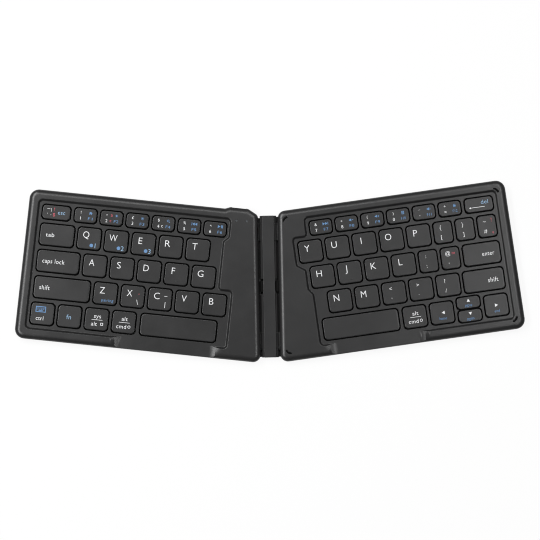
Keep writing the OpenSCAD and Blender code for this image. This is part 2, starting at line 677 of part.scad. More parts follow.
// The cover is one unbroken strip, which the knuckles turn under
module spine_cover() color(CASE) translate([0, splay_y, 0]) difference() {
    spine_section();
    knuckle_room();
    spine_part(spine_split, false);
}
module flex_cable() color("#1a1a1c")
    translate([-hinge_wall - cable_in, splay_y - cable_w / 2, cable_z])
        cube([2 * (hinge_wall + cable_in), cable_w, cable_t]);

// ---------- Right half ----------

bumper_w = 1;
bumper_proud = 0.1;

module right_top_case() color(CASE) on_right() difference() {
    top_case(right_outline, right_deck, RIGHT_KEYS, scoop_near_right);
    bumper_strips(0.05, 1);
}
module right_bottom_cover() color(CASE) on_right() bottom_cover(right_outline);
module right_support_plate() color(STEEL) on_right() support_plate(right_deck);
module right_membrane() color("#b9c4b0") on_right() membrane(right_deck);
module right_dome_sheet() color("#d8d8d0") on_right() dome_sheet(right_deck, RIGHT_KEYS);
module right_scissor_links() color(LINK) on_right() scissor_links(RIGHT_KEYS);
module right_feet() color(RUBBER) on_right() feet();
module right_screws() color(STEEL) on_right() screws();
module right_magnets() color(STEEL) on_right() magnets();
module right_hinge_pins() color(STEEL) pins();

// Crescents of rubber let into the four corners of the rim: [middle of its arc, middle angle]
bumper_arc = 3.2;
bumper_sweep = 70;
bumper_t = 0.6;
bumper_in = 7.8;        // from the outer, front and rear edges to the middles of the arcs
bumper_near = 6.5;      // from the wall beside the hinge
bumper_rear = rear_reach - bumper_in;
bumper_front = bumper_in - front_reach;
bumpers = [
    [[half_reach - bumper_in, bumper_rear], 45],
    [[half_reach - bumper_in, bumper_front], -45],
    [[hinge_x(bumper_rear) + bumper_near, bumper_rear + 0.4], 130],
    [[hinge_x(bumper_front) + bumper_near, bumper_front - 0.2], -130]];
module bumper_strips(spare, above) for (b = bumpers)
    translate([b[0].x, b[0].y, rim_top - bumper_t - spare]) rotate(b[1] - bumper_sweep / 2)
        rotate_extrude(angle = bumper_sweep, $fn = 64)
            translate([bumper_arc - bumper_w / 2 - spare, 0])
                square([bumper_w + 2 * spare, bumper_t + spare + above]);
module corner_bumpers() color(RUBBER) on_right() bumper_strips(0, bumper_proud);

module battery() color("#c8ccd0") on_right() translate([battery_at.x, battery_at.y, floor_z + 0.05])
    cube(battery_size);
module junction_board() color("#1d4a2c") on_right() translate([0, 0, board_z]) linear_extrude(board_t)
    polygon([
        [hinge_x(-6) + board_near, -6], [19, -6], [19, 4], [14.8, 9], [14.8, 24],
        [hinge_x(24) + board_near, 24]]);

left_bottom_cover();
left_top_case();
left_support_plate();
left_membrane();
left_dome_sheet();
left_scissor_links();
left_feet();
left_screws();
left_magnets();
left_hinge_pins();
main_board();
charge_port();
indicator_lights();
left_number_keys();
left_escape_key();
left_top_letter_keys();
left_tab_key();
left_home_letter_keys();
left_caps_key();
left_lower_letter_keys();
left_shift_key();
left_space_key();
left_alt_key();
left_system_key();
left_function_key();
left_control_key();
hinge_spine();
spine_cover();
flex_cable();
right_bottom_cover();
right_top_case();
right_support_plate();
right_membrane();
right_dome_sheet();
right_scissor_links();
right_feet();
right_screws();
right_magnets();
right_hinge_pins();
battery();
junction_board();
corner_bumpers();
right_number_keys();
right_delete_key();
right_top_letter_keys();
right_open_bracket_key();
right_close_bracket_key();
right_hash_key();
right_home_letter_keys();
right_semicolon_key();
right_quote_key();
right_enter_key();
right_lower_letter_keys();
right_shift_key();
right_space_key();
right_alt_key();
right_left_arrow_key();
right_up_arrow_key();
right_down_arrow_key();
right_right_arrow_key();
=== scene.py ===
"""Looks of a folding keyboard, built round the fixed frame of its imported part.

Lengths are in millimetres, in the frame of one half unless said otherwise: x runs outwards from
the hinge line, y to the rear and z up. side is 1 for the right half and -1 for the left one,
which is its mirror image and turned the other way by the same splay. Marks on the caps are
placed with u instead of x, which runs to the right of whoever sits in front.
"""

import json
import math

import bpy
import numpy as np
from bpy.props import FloatProperty, FloatVectorProperty, IntProperty, PointerProperty
from mathutils import Matrix, Vector


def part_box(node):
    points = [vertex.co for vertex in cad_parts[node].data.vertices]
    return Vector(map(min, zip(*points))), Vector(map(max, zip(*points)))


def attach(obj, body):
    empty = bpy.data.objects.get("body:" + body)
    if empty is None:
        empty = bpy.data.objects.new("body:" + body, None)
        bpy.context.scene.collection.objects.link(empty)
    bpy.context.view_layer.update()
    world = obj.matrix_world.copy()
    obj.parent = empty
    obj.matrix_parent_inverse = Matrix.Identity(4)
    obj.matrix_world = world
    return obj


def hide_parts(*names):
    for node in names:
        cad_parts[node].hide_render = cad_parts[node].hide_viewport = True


bl_info = {
    "name": "Folding keyboard",
    "version": (1, 0, 0),
    "blender": (4, 5, 0),
    "location": "3D View > Sidebar > Keyboard",
    "description": "Dresses two hinged halves with their cases, key caps and legends, and lights them",
    "category": "Object",
}

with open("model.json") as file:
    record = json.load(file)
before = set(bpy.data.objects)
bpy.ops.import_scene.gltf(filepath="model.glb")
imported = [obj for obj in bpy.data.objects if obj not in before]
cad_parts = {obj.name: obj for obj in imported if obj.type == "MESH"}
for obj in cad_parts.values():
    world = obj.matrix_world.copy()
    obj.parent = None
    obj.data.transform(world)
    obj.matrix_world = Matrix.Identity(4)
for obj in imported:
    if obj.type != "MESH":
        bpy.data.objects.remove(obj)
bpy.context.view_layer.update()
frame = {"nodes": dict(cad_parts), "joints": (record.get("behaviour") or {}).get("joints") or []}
MM = 0.001
SIDES = {"left": -1, "right": 1}
SPLAY = math.radians(7)
KEY_NODES = sorted(n for n in frame["nodes"] if n.endswith(("_key", "_keys")))


def box_mm(node):
    """Lowest and highest corners of a CAD node at rest, in the row's frame."""
    low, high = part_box(node)
    return np.array(low) / MM, np.array(high) / MM


def side_of(node):
    """Side of the half that a node is named after."""
    return SIDES[node.split("_")[0]]


def points_of(mesh, unit_m=MM):
    """Points of a mesh in units of unit_m metres."""
    co = np.empty(len(mesh.vertices) * 3)
    mesh.vertices.foreach_get("co", co)
    return co.reshape(-1, 3) / unit_m


def faces_of(mesh):
    return [list(face.vertices) for face in mesh.polygons]


def shifted(faces, start):
    """Faces whose points are counted from start on."""
    return [[start + v for v in face] for face in faces]


SPINE_LOW, SPINE_HIGH = box_mm("spine_cover")
SPINE_TOP = SPINE_HIGH[2]
SPINE_SPLIT = SPINE_LOW[2]
SPINE_FOOT = box_mm("hinge_spine")[0][2]
SPINE_HALF = (SPINE_HIGH[1] - SPINE_LOW[1]) / 2
SPLAY_Y = (SPINE_HIGH[1] + SPINE_LOW[1]) / 2
HINGE = next(joint for joint in frame["joints"] if joint["name"] == "right_hinge")
PIN_X, PIN_Z = HINGE["pos_m"][0] / MM, HINGE["pos_m"][2] / MM
RUN = 0.3
SPINE_EDGE = SPINE_HIGH[0]
BARREL_R = SPINE_SPLIT - 0.05 - PIN_Z
HINGE_WALL = PIN_X + SPINE_TOP - PIN_Z + RUN
RIM_TOP = box_mm("right_top_case")[1][2]
GROUND_GAP, SEAM_Z = (corner[2] for corner in box_mm("right_bottom_cover"))
CAP_BOTTOM, CAP_TOP = (corner[2] for corner in box_mm("right_space_key"))
COVER_T = 1.0
FLOOR_Z = GROUND_GAP + COVER_T


# ---------- Settings that a user would change ----------


def size(name, description, default):
    """A length in millimetres."""
    return FloatProperty(name=name, description=description + ", mm", default=default, min=0)


def colour(name, description, default):
    return FloatVectorProperty(name=name, description=description, default=default,
                               subtype="COLOR", min=0, max=1)


class CaseSettings(bpy.types.PropertyGroup):
    half_reach: size("Outer edge", "Distance from the hinge line", 145.4)
    rear_reach: size("Rear edge", "Distance from the splay centre", 42.9)
    front_reach: size("Front edge", "Distance from the splay centre", 45.15)
    corner_r: size("Outer corners", "Radius seen from above", 5.6)
    hinge_corner_r: size("Hinge corners", "Radius seen from above", 4.5)
    top_edge_r: size("Top edge height", "Rounding of the rim, seen from the side", 2.2)
    top_edge_w: size("Top edge width", "Rounding of the rim, seen from above", 3.4)
    bottom_edge_r: size("Bottom edge", "Rounding of the underside", 1.3)
    wall: size("Wall", "Thickness of the side walls", 1.8)
    deck_drop: size("Deck drop", "Depth of the deck below the rim", 1.2)
    deck_t: size("Deck", "Thickness of the deck", 0.9)
    step_w: size("Step", "Width of the step down to the deck", 1.6)
    key_gap: size("Key gap", "Clear gap round each cap", 0.7)
    crisp_r: size("Crisp edges", "Rounding of the moulded edges", 0.12)
    plastic: colour("Plastic", "Colour of the case", (0.016, 0.016, 0.0163))


class CapSettings(bpy.types.PropertyGroup):
    corner_r: size("Corners", "Radius seen from above", 2.1)
    bevel: size("Bevel", "Rounding of the top edge", 0.35)
    dish: size("Dish", "Depth of the hollow in the top", 0.03)
    skirt: size("Skirt", "Thickness of the skirt", 1.0)
    top_t: size("Top", "Thickness of the top", 1.1)
    homing_w: size("Homing bar", "Length of the raised bar on two caps", 2.6)
    plastic: colour("Plastic", "Colour of the caps", (0.0155, 0.0155, 0.0158))


class LegendSettings(bpy.types.PropertyGroup):
    print_t: size("Print", "Thickness of the ink", 0.02)
    thinner: size("Thinner", "How far the strokes are thinned, as a share of the type size", 0.010)
    white: colour("White ink", "Main legends", (0.80, 0.81, 0.82))
    blue: colour("Blue ink", "Second functions", (0.10, 0.23, 0.44))
    pale: colour("Pale blue ink", "Larger second functions", (0.24, 0.40, 0.58))
    red: colour("Red ink", "Third symbols", (0.52, 0.07, 0.10))


class StageSettings(bpy.types.PropertyGroup):
    elevation: FloatProperty(name="Camera elevation", description="Above the horizon", subtype="ANGLE",
                             default=math.radians(86.304))
    azimuth: FloatProperty(name="Camera azimuth", description="Round from the front", subtype="ANGLE",
                           default=math.radians(-1.104))
    distance: FloatProperty(name="Camera distance", description="From the key tops", subtype="DISTANCE",
                            unit="LENGTH", default=1.12486)
    focal_px: FloatProperty(name="Focal length", description="In pixels of the picture", default=1922.7)
    picture_px: IntProperty(name="Picture", description="Side of the picture in pixels", default=540)
    target_x: size("Target across", "Looked-at point from the hinge line", 0.663)
    target_y: size("Target along", "Looked-at point from the row's centre", 1.717)
    lamp_w: FloatProperty(name="Lamps", description="Power of a lamp with a share of 1", subtype="POWER",
                          unit="POWER", default=7.0)


# ---------- Outlines and surfaces ----------


def unit(v):
    """Each row of v at length 1."""
    return v / np.linalg.norm(v, axis=-1, keepdims=True)


def turned(points, angle):
    """Points turned about z: x cos(angle) - y sin(angle) and x sin(angle) + y cos(angle)."""
    p = np.asarray(points, float)
    c, s = math.cos(angle), math.sin(angle)
    return np.stack([p[..., 0] * c - p[..., 1] * s, p[..., 0] * s + p[..., 1] * c, p[..., 2]], -1)


def to_row(points, side):
    """Points of a half in the row's frame: turned by the splay, moved out and, on the left, mirrored."""
    return (turned(points, SPLAY) + [0, SPLAY_Y, 0]) * [side, 1, 1]


def to_half(points, side):
    """The reverse of to_row."""
    return turned(np.asarray(points, float) * [side, 1, 1] - [0, SPLAY_Y, 0], -SPLAY)


def hinge_x(y):
    """Distance outwards of the wall beside the hinge, which stands square to the row's frame."""
    return (HINGE_WALL + y * math.sin(SPLAY)) / math.cos(SPLAY)


def outline(corners, inset=0.0, steps=8):
    """Closed outline through corners [x, y, radius], anticlockwise, drawn in by inset.

    Each corner is an arc, centre - r n(t), where n turns from the normal of the side before it to
    that of the side after it. A corner that turns inwards has its centre outside and grows with
    the inset.
    """
    corners = np.asarray(corners, float)
    here = corners[:, :2]
    before = unit(here - np.roll(here, 1, 0))
    after = unit(np.roll(here, -1, 0) - here)
    n1 = np.stack([-before[:, 1], before[:, 0]], 1)
    n2 = np.stack([-after[:, 1], after[:, 0]], 1)
    shift = (n1 + n2) / (1 + np.sum(n1 * n2, 1, keepdims=True))
    turn = np.arctan2(before[:, 0] * after[:, 1] - before[:, 1] * after[:, 0], np.sum(before * after, 1))
    bend = np.where(turn > 0, 1.0, -1.0)[:, None]
    radius = np.maximum(corners[:, 2:] - bend * inset, 0.05)
    centre = here + inset * shift + bend * radius * shift
    angle = turn[:, None] * np.linspace(0, 1, steps + 1)
    c, s = np.cos(angle), np.sin(angle)
    normal = np.stack([n1[:, :1] * c - n1[:, 1:] * s, n1[:, :1] * s + n1[:, 1:] * c], -1)
    return (centre[:, None] - (bend * radius)[:, None] * normal).reshape(-1, 2)


def level(points, z):
    """Outline points lifted to the height z."""
    return np.column_stack([points, np.broadcast_to(z, len(points))])


def upright(section, y):
    """Points (x, z) of a section that stands at y."""
    return np.column_stack([section[:, 0], np.full(len(section), y), section[:, 1]])


def contour(corners, z, inset=0.0, steps=8):
    """The outline through corners, drawn in by inset and lifted to the height z."""
    return level(outline(corners, inset, steps), z)


def rectangle(w, d, r):
    """Corners of a rectangle round the origin."""
    return [[w / 2, -d / 2, r], [w / 2, d / 2, r], [-w / 2, d / 2, r], [-w / 2, -d / 2, r]]


def circle(r, count=32):
    a = np.linspace(0, 2 * math.pi, count, endpoint=False)
    return np.column_stack([r * np.cos(a), r * np.sin(a)])


def loft_faces(rings, count):
    """Quads between successive rings of count points, with a face over either end."""
    i = np.arange(count)
    j = np.arange(rings - 1)[:, None] * count
    n = (i + 1) % count
    quads = np.stack([j + i, j + n, j + n + count, j + i + count], -1).reshape(-1, 4).tolist()
    return quads + [i[::-1].tolist(), ((rings - 1) * count + i).tolist()]


def set_faces(mesh, key, value):
    """Sets one property of a mesh's faces, from one value for all or one for each."""
    mesh.polygons.foreach_set(key, np.full(len(mesh.polygons), value))


def new_object(name, points, faces):
    """An object at the origin with its place in its mesh. Points are in the row's frame, mm."""
    mesh = bpy.data.meshes.new(name)
    mesh.from_pydata((np.asarray(points, float) * MM).tolist(), [], faces)
    set_faces(mesh, "use_smooth", True)
    mesh.update()
    obj = bpy.data.objects.new(name, mesh)
    bpy.context.scene.collection.objects.link(obj)
    return obj


def loft(name, rings, side=1, in_row=False):
    """Closed solid through rings of equal length.

    They run anticlockwise round the way from the first to the last. They are in a half's frame or,
    with in_row, in the row's frame with y from the spine's middle.
    """
    rings = np.asarray(rings, float)
    faces = loft_faces(len(rings), rings.shape[1])
    points = (rings + [0, SPLAY_Y, 0]) * [side, 1, 1] if in_row else to_row(rings, side)
    return new_object(name, points.reshape(-1, 3), [face[::-1] for face in faces] if side < 0 else faces)


def prism(name, points, z0, z1, side=1, in_row=False):
    """An upright prism over an outline."""
    return loft(name, [level(points, z0), level(points, z1)], side, in_row)


def block(name, x, y, z, side=1, in_row=False):
    """A block between the pairs x, y and z."""
    ring = np.array([[x[0], y[0]], [x[1], y[0]], [x[1], y[1]], [x[0], y[1]]])
    return prism(name, ring, *z, side, in_row)


def posts(name, places, r, z, side):
    """An upright round post or bore at each place."""
    return [prism(name, circle(r) + np.asarray(place), *z, side) for place in places]


def lathe(name, place, profile, side, count=48):
    """A turned piece: a profile (r, z), from the foot up, carried round the upright axis at place."""
    rings = [level(circle(max(r, 0.01), count) + np.asarray(place), z) for r, z in profile]
    return loft(name, rings, side)


def bar(name, x, y, z, r, side=1, count=48):
    """A round bar along the hinge, between the pair y: x + r sin(a), z + r cos(a)."""
    a = np.linspace(0, 2 * math.pi, count, endpoint=False)
    section = np.column_stack([x + r * np.sin(a), z + r * np.cos(a)])
    return loft(name, [upright(section, end) for end in y], side, in_row=True)


def smoothstep(t):
    """Half a cosine wave from 0 to 1."""
    return (1 - np.cos(np.pi * t)) / 2


def quarter(r, steps=6):
    """A quarter round as (inset, rise): r (1 - cos(a)) and r sin(a), for a from 0 to 90 degrees."""
    a = np.linspace(0, math.pi / 2, steps)
    return np.column_stack([r * (1 - np.cos(a)), r * np.sin(a)])


def discard(*objects):
    for obj in objects:
        mesh = obj.data
        bpy.data.objects.remove(obj)
        bpy.data.meshes.remove(mesh)


def finished(obj, *modifiers):
    """obj with its modifiers, given as (kind, settings), worked into its mesh."""
    for kind, settings in modifiers:
        modifier = obj.modifiers.new(kind.title(), kind)
        for key, value in settings.items():
            setattr(modifier, key, value)
    bpy.context.view_layer.update()
    done = bpy.data.meshes.new_from_object(obj.evaluated_get(bpy.context.evaluated_depsgraph_get()))
    old = obj.data
    name = old.name
    obj.modifiers.clear()
    obj.data = done
    bpy.data.meshes.remove(old)
    done.name = name
    if not done.polygons:
        raise RuntimeError(f"{obj.name} has no faces left")
    return obj


def joined(name, objects):
    """One object with the meshes of several."""
    points, faces, start = [], [], 0
    for obj in objects:
        points.append(points_of(obj.data))
        faces += shifted(faces_of(obj.data), start)
        start += len(points[-1])
    discard(*objects)
    return new_object(name, np.vstack(points), faces)


def machined(body, materials, *steps, crisp_r):
    """body after steps of (operation, tools), with its crisp edges rounded in its second finish."""
    coat(body.data, materials)
    modifiers = []
    for operation, tools in steps:
        tray = bpy.data.collections.new(operation)
        for tool in tools:
            tray.objects.link(tool)
        modifiers.append(("BOOLEAN", {"operation": operation, "operand_type": "COLLECTION",
                                      "collection": tray, "solver": "EXACT"}))
    finished(body, *modifiers)
    for (_, settings), (_, tools) in zip(modifiers, steps):
        discard(*tools)
        bpy.data.collections.remove(settings["collection"])
    set_faces(body.data, "use_smooth", True)
    rounding = {"width": crisp_r * MM, "segments": 2, "material": 1, "use_clamp_overlap": False,
                "limit_method": "ANGLE", "angle_limit": math.radians(40)}
    return finished(body, ("BEVEL", rounding), ("WEIGHTED_NORMAL", {"weight": 100}))


def coat(mesh, materials):
    """Gives a mesh its finishes, in the order of its faces' indices."""
    while len(mesh.materials) < len(materials):
        mesh.materials.append(None)
    for index, material in enumerate(materials):
        mesh.materials[index] = material


def dress(obj, materials, body, slot, *nodes):
    """Gives a piece its finishes, hangs it from the body it rides on and hides the CAD nodes it stands for.
    """
    coat(obj.data, materials)
    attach(obj, body)
    if nodes:
        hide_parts(*nodes)
    return obj


def recoat(nodes, material):
    """Gives CAD nodes another finish."""
    for node in nodes:
        mesh = frame["nodes"][node].data
        mesh.materials.clear()
        mesh.materials.append(material)


# ---------- Finishes ----------


class Wire:
    """A socket of a finish. Sums, differences and products add Math nodes."""

    def __init__(self, finish, socket):
        self.finish, self.socket = finish, socket

    def maths(self, operation, *values):
        return self.finish.add("ShaderNodeMath", {"operation": operation}, dict(enumerate(values)))[0]

    def __add__(self, other):
        return self.maths("ADD", self, other)

    __radd__ = __add__

    def __sub__(self, other):
        return self.maths("SUBTRACT", self, other)

    def __rsub__(self, other):
        return self.maths("SUBTRACT", other, self)

    def __mul__(self, other):
        return self.maths("MULTIPLY", self, other)

    __rmul__ = __mul__

    def clamped(self):
        return self.maths("MINIMUM", self.maths("MAXIMUM", self, 0.0), 1.0)


class Finish:
    """A material on one Principled shader, whose patterns read the piece's own coordinates."""

    def __init__(self, name, tint, roughness, **fixed):
        self.material = bpy.data.materials.new(name)
        self.material.use_nodes = True
        self.tree = self.material.node_tree
        self.shader = self.tree.nodes["Principled BSDF"]
        self.tint = tint
        self.place = self.add("ShaderNodeTexCoord")["Object"]
        self.set(("Base Color", (*tint, 1)), ("Roughness", roughness), *fixed.items())

    def add(self, kind, settings=(), sockets=()):
        """Adds a node, with its settings first and then its sockets' values or wires. Gives its outputs."""
        node = self.tree.nodes.new(kind)
        for key, value in dict(settings).items():
            setattr(node, key, value)
        for key, value in dict(sockets).items():
            self.feed(node.inputs[key], value)
        outputs = [(i, out) for i, out in enumerate(node.outputs) if out.enabled]
        return {key: Wire(self, out) for i, out in outputs for key in (i, out.name)}

    def feed(self, socket, value):
        if isinstance(value, Wire):
            self.tree.links.new(value.socket, socket)
        else:
            socket.default_value = value

    def set(self, *sockets):
        for key, value in sockets:
            self.feed(self.shader.inputs[key.replace("_", " ")], value)

    def noise(self, size_mm, detail=2.0, stretch=(1, 1, 1)):
        """Fractal noise with blobs about size_mm across, drawn out along an axis whose stretch is below 1."""
        mapped = self.add("ShaderNodeMapping", (), {"Vector": self.place, "Scale": stretch})["Vector"]
        return self.add("ShaderNodeTexNoise", (), {"Vector": mapped, "Scale": 1 / (size_mm * MM),
                                                   "Detail": detail, "Roughness": 0.55})[0]

    def mixed(self, factor, low, high):
        """The colour low where factor is 0 and high where it is 1. Either may be a wire."""
        low, high = (c if isinstance(c, Wire) else (*c, 1) for c in (low, high))
        return self.add("ShaderNodeMix", {"data_type": "RGBA"}, {0: factor, 6: low, 7: high})[2]

    def shaded(self, factor, low, high):
        """The tint times low where factor is 0 and times high where it is 1."""
        return self.mixed(factor, [c * low for c in self.tint], [min(c * high, 1) for c in self.tint])

    def made(self, shade, gloss, height, depth_mm):
        """The material with this colour and roughness, and bumps of depth_mm where height is 1."""
        bump = self.add("ShaderNodeBump", (), {"Height": height, "Distance": depth_mm * MM, "Strength": 1.0})
        self.set(("Base Color", shade), ("Roughness", gloss), ("Normal", bump["Normal"]))
        return self.material


def moulded_plastic(name, colour, roughness, tone=1.0, worn=0.0, wear_attribute=None):
    """Dark moulded plastic: sparkle-fine grain, a faint cloudiness, and edges that handling has polished."""
    tint = [tone * c for c in colour]
    finish = Finish(name, tint, roughness)
    cloud = finish.noise(14, 3)
    grain = finish.noise(0.16, 2)
    shade = finish.shaded((0.4 * grain + 0.6 * cloud).clamped(), 0.84, 1.18)
    gloss = roughness + 0.10 * (cloud - 0.5) + 0.12 * (grain - 0.5)
    if worn:
        edge = worn * (0.4 + 0.9 * cloud)
        if wear_attribute:
            edge = edge * finish.add("ShaderNodeAttribute", {"attribute_name": wear_attribute})["Fac"]
        shade = finish.mixed(edge.clamped(), shade, [c * 2.4 for c in tint])
        gloss = gloss - 0.22 * edge
    return finish.made(shade, gloss.clamped(), grain, 0.006)


def printed_ink(name, tint):
    """Printed ink: matt, and slightly uneven in its cover."""
    finish = Finish(name, tint, 0.5)
    cover = finish.noise(0.25, 2)
    return finish.made(finish.shaded(cover, 0.90, 1.06), 0.42 + 0.16 * cover, cover, 0.003)


def soft_rubber(name, tint):
    """Soft rubber: matt, faintly mottled, with a fine moulded grain."""
    finish = Finish(name, tint, 0.8, Specular_IOR_Level=0.12)
    grain = finish.noise(0.3, 3)
    return finish.made(finish.shaded(finish.noise(3), 0.7, 1.5), 0.7 + 0.2 * grain, grain, 0.015)


def drawn_metal(name, tint, roughness, stretch=(1, 1, 1)):
    """Metal with fine marks that run along one axis."""
    finish = Finish(name, tint, roughness, Metallic=1.0)
    marks = finish.noise(0.35, 3, stretch)
    return finish.made(finish.shaded(marks, 0.82, 1.1), roughness + 0.2 * (marks - 0.5), marks, 0.003)


def thin_film(name, tint, roughness=0.4):
    """Plastic film: smooth, with a soft ripple."""
    finish = Finish(name, tint, roughness, Coat_Weight=0.25)
    ripple = finish.noise(6, 2)
    return finish.made(finish.shaded(ripple, 0.85, 1.12), roughness + 0.1 * (ripple - 0.5), ripple, 0.02)


def solder_mask(name, tint, roughness=0.35, track_mm=6):
    """Circuit board: green mask over copper tracks that a brick pattern lays out."""
    finish = Finish(name, tint, roughness, Coat_Weight=0.4)
    green, lighter, copper = ((*[share * c for c in tint], 1) for share in (1, 1.3, 2.6))
    track = finish.add("ShaderNodeTexBrick", {"offset": 0.5},
                       {"Vector": finish.place, "Color1": green, "Color2": lighter, "Mortar": copper,
                        "Scale": 1 / (track_mm * MM), "Mortar Size": 0.03})
    return finish.made(track["Color"], roughness, track["Fac"], 0.02)


# ---------- Shape of the cases ----------

PORT_X, PORT_HALF_W, PORT_SWELL, REAR_STEP = 22.2, 5.2, 1.2, 2.1
# Widths of the rim round the deck
RIM_SIDE, RIM_REAR, RIM_FRONT = 6.1, 5.9, 6.3
DECK_CORNER_R = 2.5
# The thumb scoops run from SCOOP_NEAR to SCOOP_FAR, with a ramp beyond either end
SCOOP_NEAR, SCOOP_FAR, SCOOP_RAMP = {"left": 27.5, "right": 31.0}, 86.3, 7.5
# Rooms beside the keys, as pairs in x and in y
BAY_CEILING = RIM_TOP - 1
BAYS = {"left": [((10, 19.2), (-37, 37)), ((19, 27), (-3.3, 22))],
        "right": [((10, 15.4), (-37, 24)), ((15, 22.8), (-37, -9))]}
# Screws and feet: how far they stand in from the outer edge and from the wall beside the hinge
SCREW_Y, SCREW_IN, SCREW_NEAR = 34.0, 4.2, 4.6
SCREW_R, SCREW_LEN, SCREW_TIP = 0.7, 3.2, 0.2
SCREW_HEAD_R, SCREW_HEAD_T, SCREW_SUNK = 1.4, 0.5, 0.1
SEAM_GROOVE = 0.2
FOOT_R, FOOT_POCKET = 3.5, 0.3
FOOT_SIDE, FOOT_END, FOOT_NEAR = 11, 9, 12
# Bores for the pins run in by PIN_END from the spine's ends
KNUCKLES, KNUCKLE_LEN, PIN_R, PIN_END = (-32.0, 32.0), 10.0, 0.5, 23.8
# The lip under the groove beside the spine, and the way through for the cable
LIP_T, LIP_ENDS = 0.4, {"left": (-41.2, 40.6), "right": (-41.2, 41.2)}
CABLE_SLOT = (-4.5, 4.5)
# Indicator lights: from the middle of the port, and in from the rear edge
LIGHT_R, LIGHTS = 0.6, ((-5.2, 6.4), (0.8, 6.65))
BUMPER_ARC, BUMPER_W, BUMPER_T, BUMPER_SWEEP = 3.2, 1.0, 0.6, math.radians(70)
BUMPER_IN, BUMPER_NEAR = 7.8, 6.5
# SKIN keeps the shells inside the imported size, and tools reach OVER past what they cut
SKIN, OVER = 0.03, 1.0
# Index of the much darker finish that paints shade on the walls of the key holes and of the step, and on the
# knuckles
PAINTED_SHADE_INDEX = 2
KEY_TRAVEL, MEMBRANE_TOP = 1.4, 2.95


def case_corners(half, case):
    """Corners of a half. The left one's rear edge swells round the charge port and slopes in by the hinge."""
    far, rear, front = case.half_reach - SKIN, case.rear_reach - SKIN, SKIN - case.front_reach
    outer = [[far, front, case.corner_r], [far, rear, case.corner_r]]
    last = [hinge_x(front), front, case.hinge_corner_r]
    if half == "right":
        return [*outer, [hinge_x(rear), rear, case.hinge_corner_r], last]
    step = rear - REAR_STEP
    return [*outer, [PORT_X + PORT_HALF_W + 3, rear, 2], [PORT_X + PORT_HALF_W, rear + PORT_SWELL, 2.4],
            [PORT_X - PORT_HALF_W, rear + PORT_SWELL, 3], [hinge_x(step), step, 3], last]


def deck_corners(half, case):
    """Corners of the sunk key deck, along the middle of the step round it."""
    far, rear, front = case.half_reach - RIM_SIDE, case.rear_reach - RIM_REAR, RIM_FRONT - case.front_reach
    outer = [[far, front, DECK_CORNER_R], [far, rear, DECK_CORNER_R]]
    if half == "left":
        return [*outer, [26.3, rear, DECK_CORNER_R], [26.3, 26, 1.5], [29.2, 23.3, 1.5], [29.2, -5.1, 2],
                [21.2, -5.1, 2.2], [21.2, front, 2]]
    return [*outer, [25.8, rear, DECK_CORNER_R], [25.8, 25.9, 1.8], [17.6, 25.9, 1.8], [17.6, 9.4, 1.5],
            [22.4, 6.2, 1.3], [22.4, -5.2, 1.3], [24.9, -8.4, 1.3], [24.9, front, DECK_CORNER_R]]


def screw_places(case):
    ends = (SCREW_Y, -SCREW_Y)
    return [(case.half_reach - SCREW_IN, y) for y in ends] + [(hinge_x(y) + SCREW_NEAR, y) for y in ends]


def foot_places(case):
    rear, front = case.rear_reach, FOOT_END - case.front_reach
    return [*[(case.half_reach - FOOT_SIDE, y) for y in (rear - FOOT_END, front)],
            *[(hinge_x(y) + FOOT_NEAR, y) for y in (rear - FOOT_NEAR, front)]]


def deck_pocket(name, half, case, steps=9):
    """The sunk deck, whose wall falls in half a cosine wave over the step and is painted with shade where
    steep.
    """
    corners, deck_z = deck_corners(half, case), RIM_TOP - case.deck_drop
    rings = [contour(corners, deck_z + case.deck_drop * (1 - smoothstep(t)), case.step_w * (t - 0.5))
             for t in np.linspace(1, 0, steps)]
    rings.append(contour(corners, RIM_TOP + OVER, -case.step_w / 2))
    pocket = loft(name, rings, SIDES[half])
    # The steep middle third of the step wall takes the painted-shade finish: a dark line for the shade in the
    # crease
    painted_shade_faces = np.zeros(len(pocket.data.polygons), int)
    painted_shade_faces[len(rings[0]) * (steps // 3):len(rings[0]) * (steps - 1 - steps // 3)] = PAINTED_SHADE_INDEX
    set_faces(pocket.data, "material_index", painted_shade_faces)
    return pocket


def thumb_scoop(name, half, case, steps=12):
    """The front rim cut down to the deck: a trough whose ends rise in half a cosine wave."""
    near, deck_z = SCOOP_NEAR[half], RIM_TOP - case.deck_drop
    reach = (SCOOP_FAR - near + SCOOP_RAMP) / 2
    t = np.linspace(0, 1, steps)
    slope = np.column_stack([reach - SCOOP_RAMP * (1 - t), deck_z + case.deck_drop * smoothstep(t)])
    section = np.vstack([slope, [[reach, RIM_TOP + OVER], [-reach, RIM_TOP + OVER]], slope[::-1] * [-1, 1]])
    section = section + [(near + SCOOP_FAR) / 2, 0]
    ends = (RIM_FRONT - case.front_reach + case.step_w, -case.front_reach - OVER)
    return loft(name, [upright(section, y) for y in ends], SIDES[half])


def key_holes(half, case, caps):
    """A rounded hole through the deck round each cap."""
    holes, low = [], RIM_TOP - case.deck_drop - case.deck_t - OVER
    for x, y, w, d in (cap for node in KEY_NODES if node.startswith(half) for cap in caps_of(node)):
        corners = rectangle(w + 2 * case.key_gap, d + 2 * case.key_gap, caps.corner_r + 0.3)
        holes.append(prism("key_hole", outline(corners, 0, 6) + [x, y], low, RIM_TOP + OVER, SIDES[half]))
    return holes


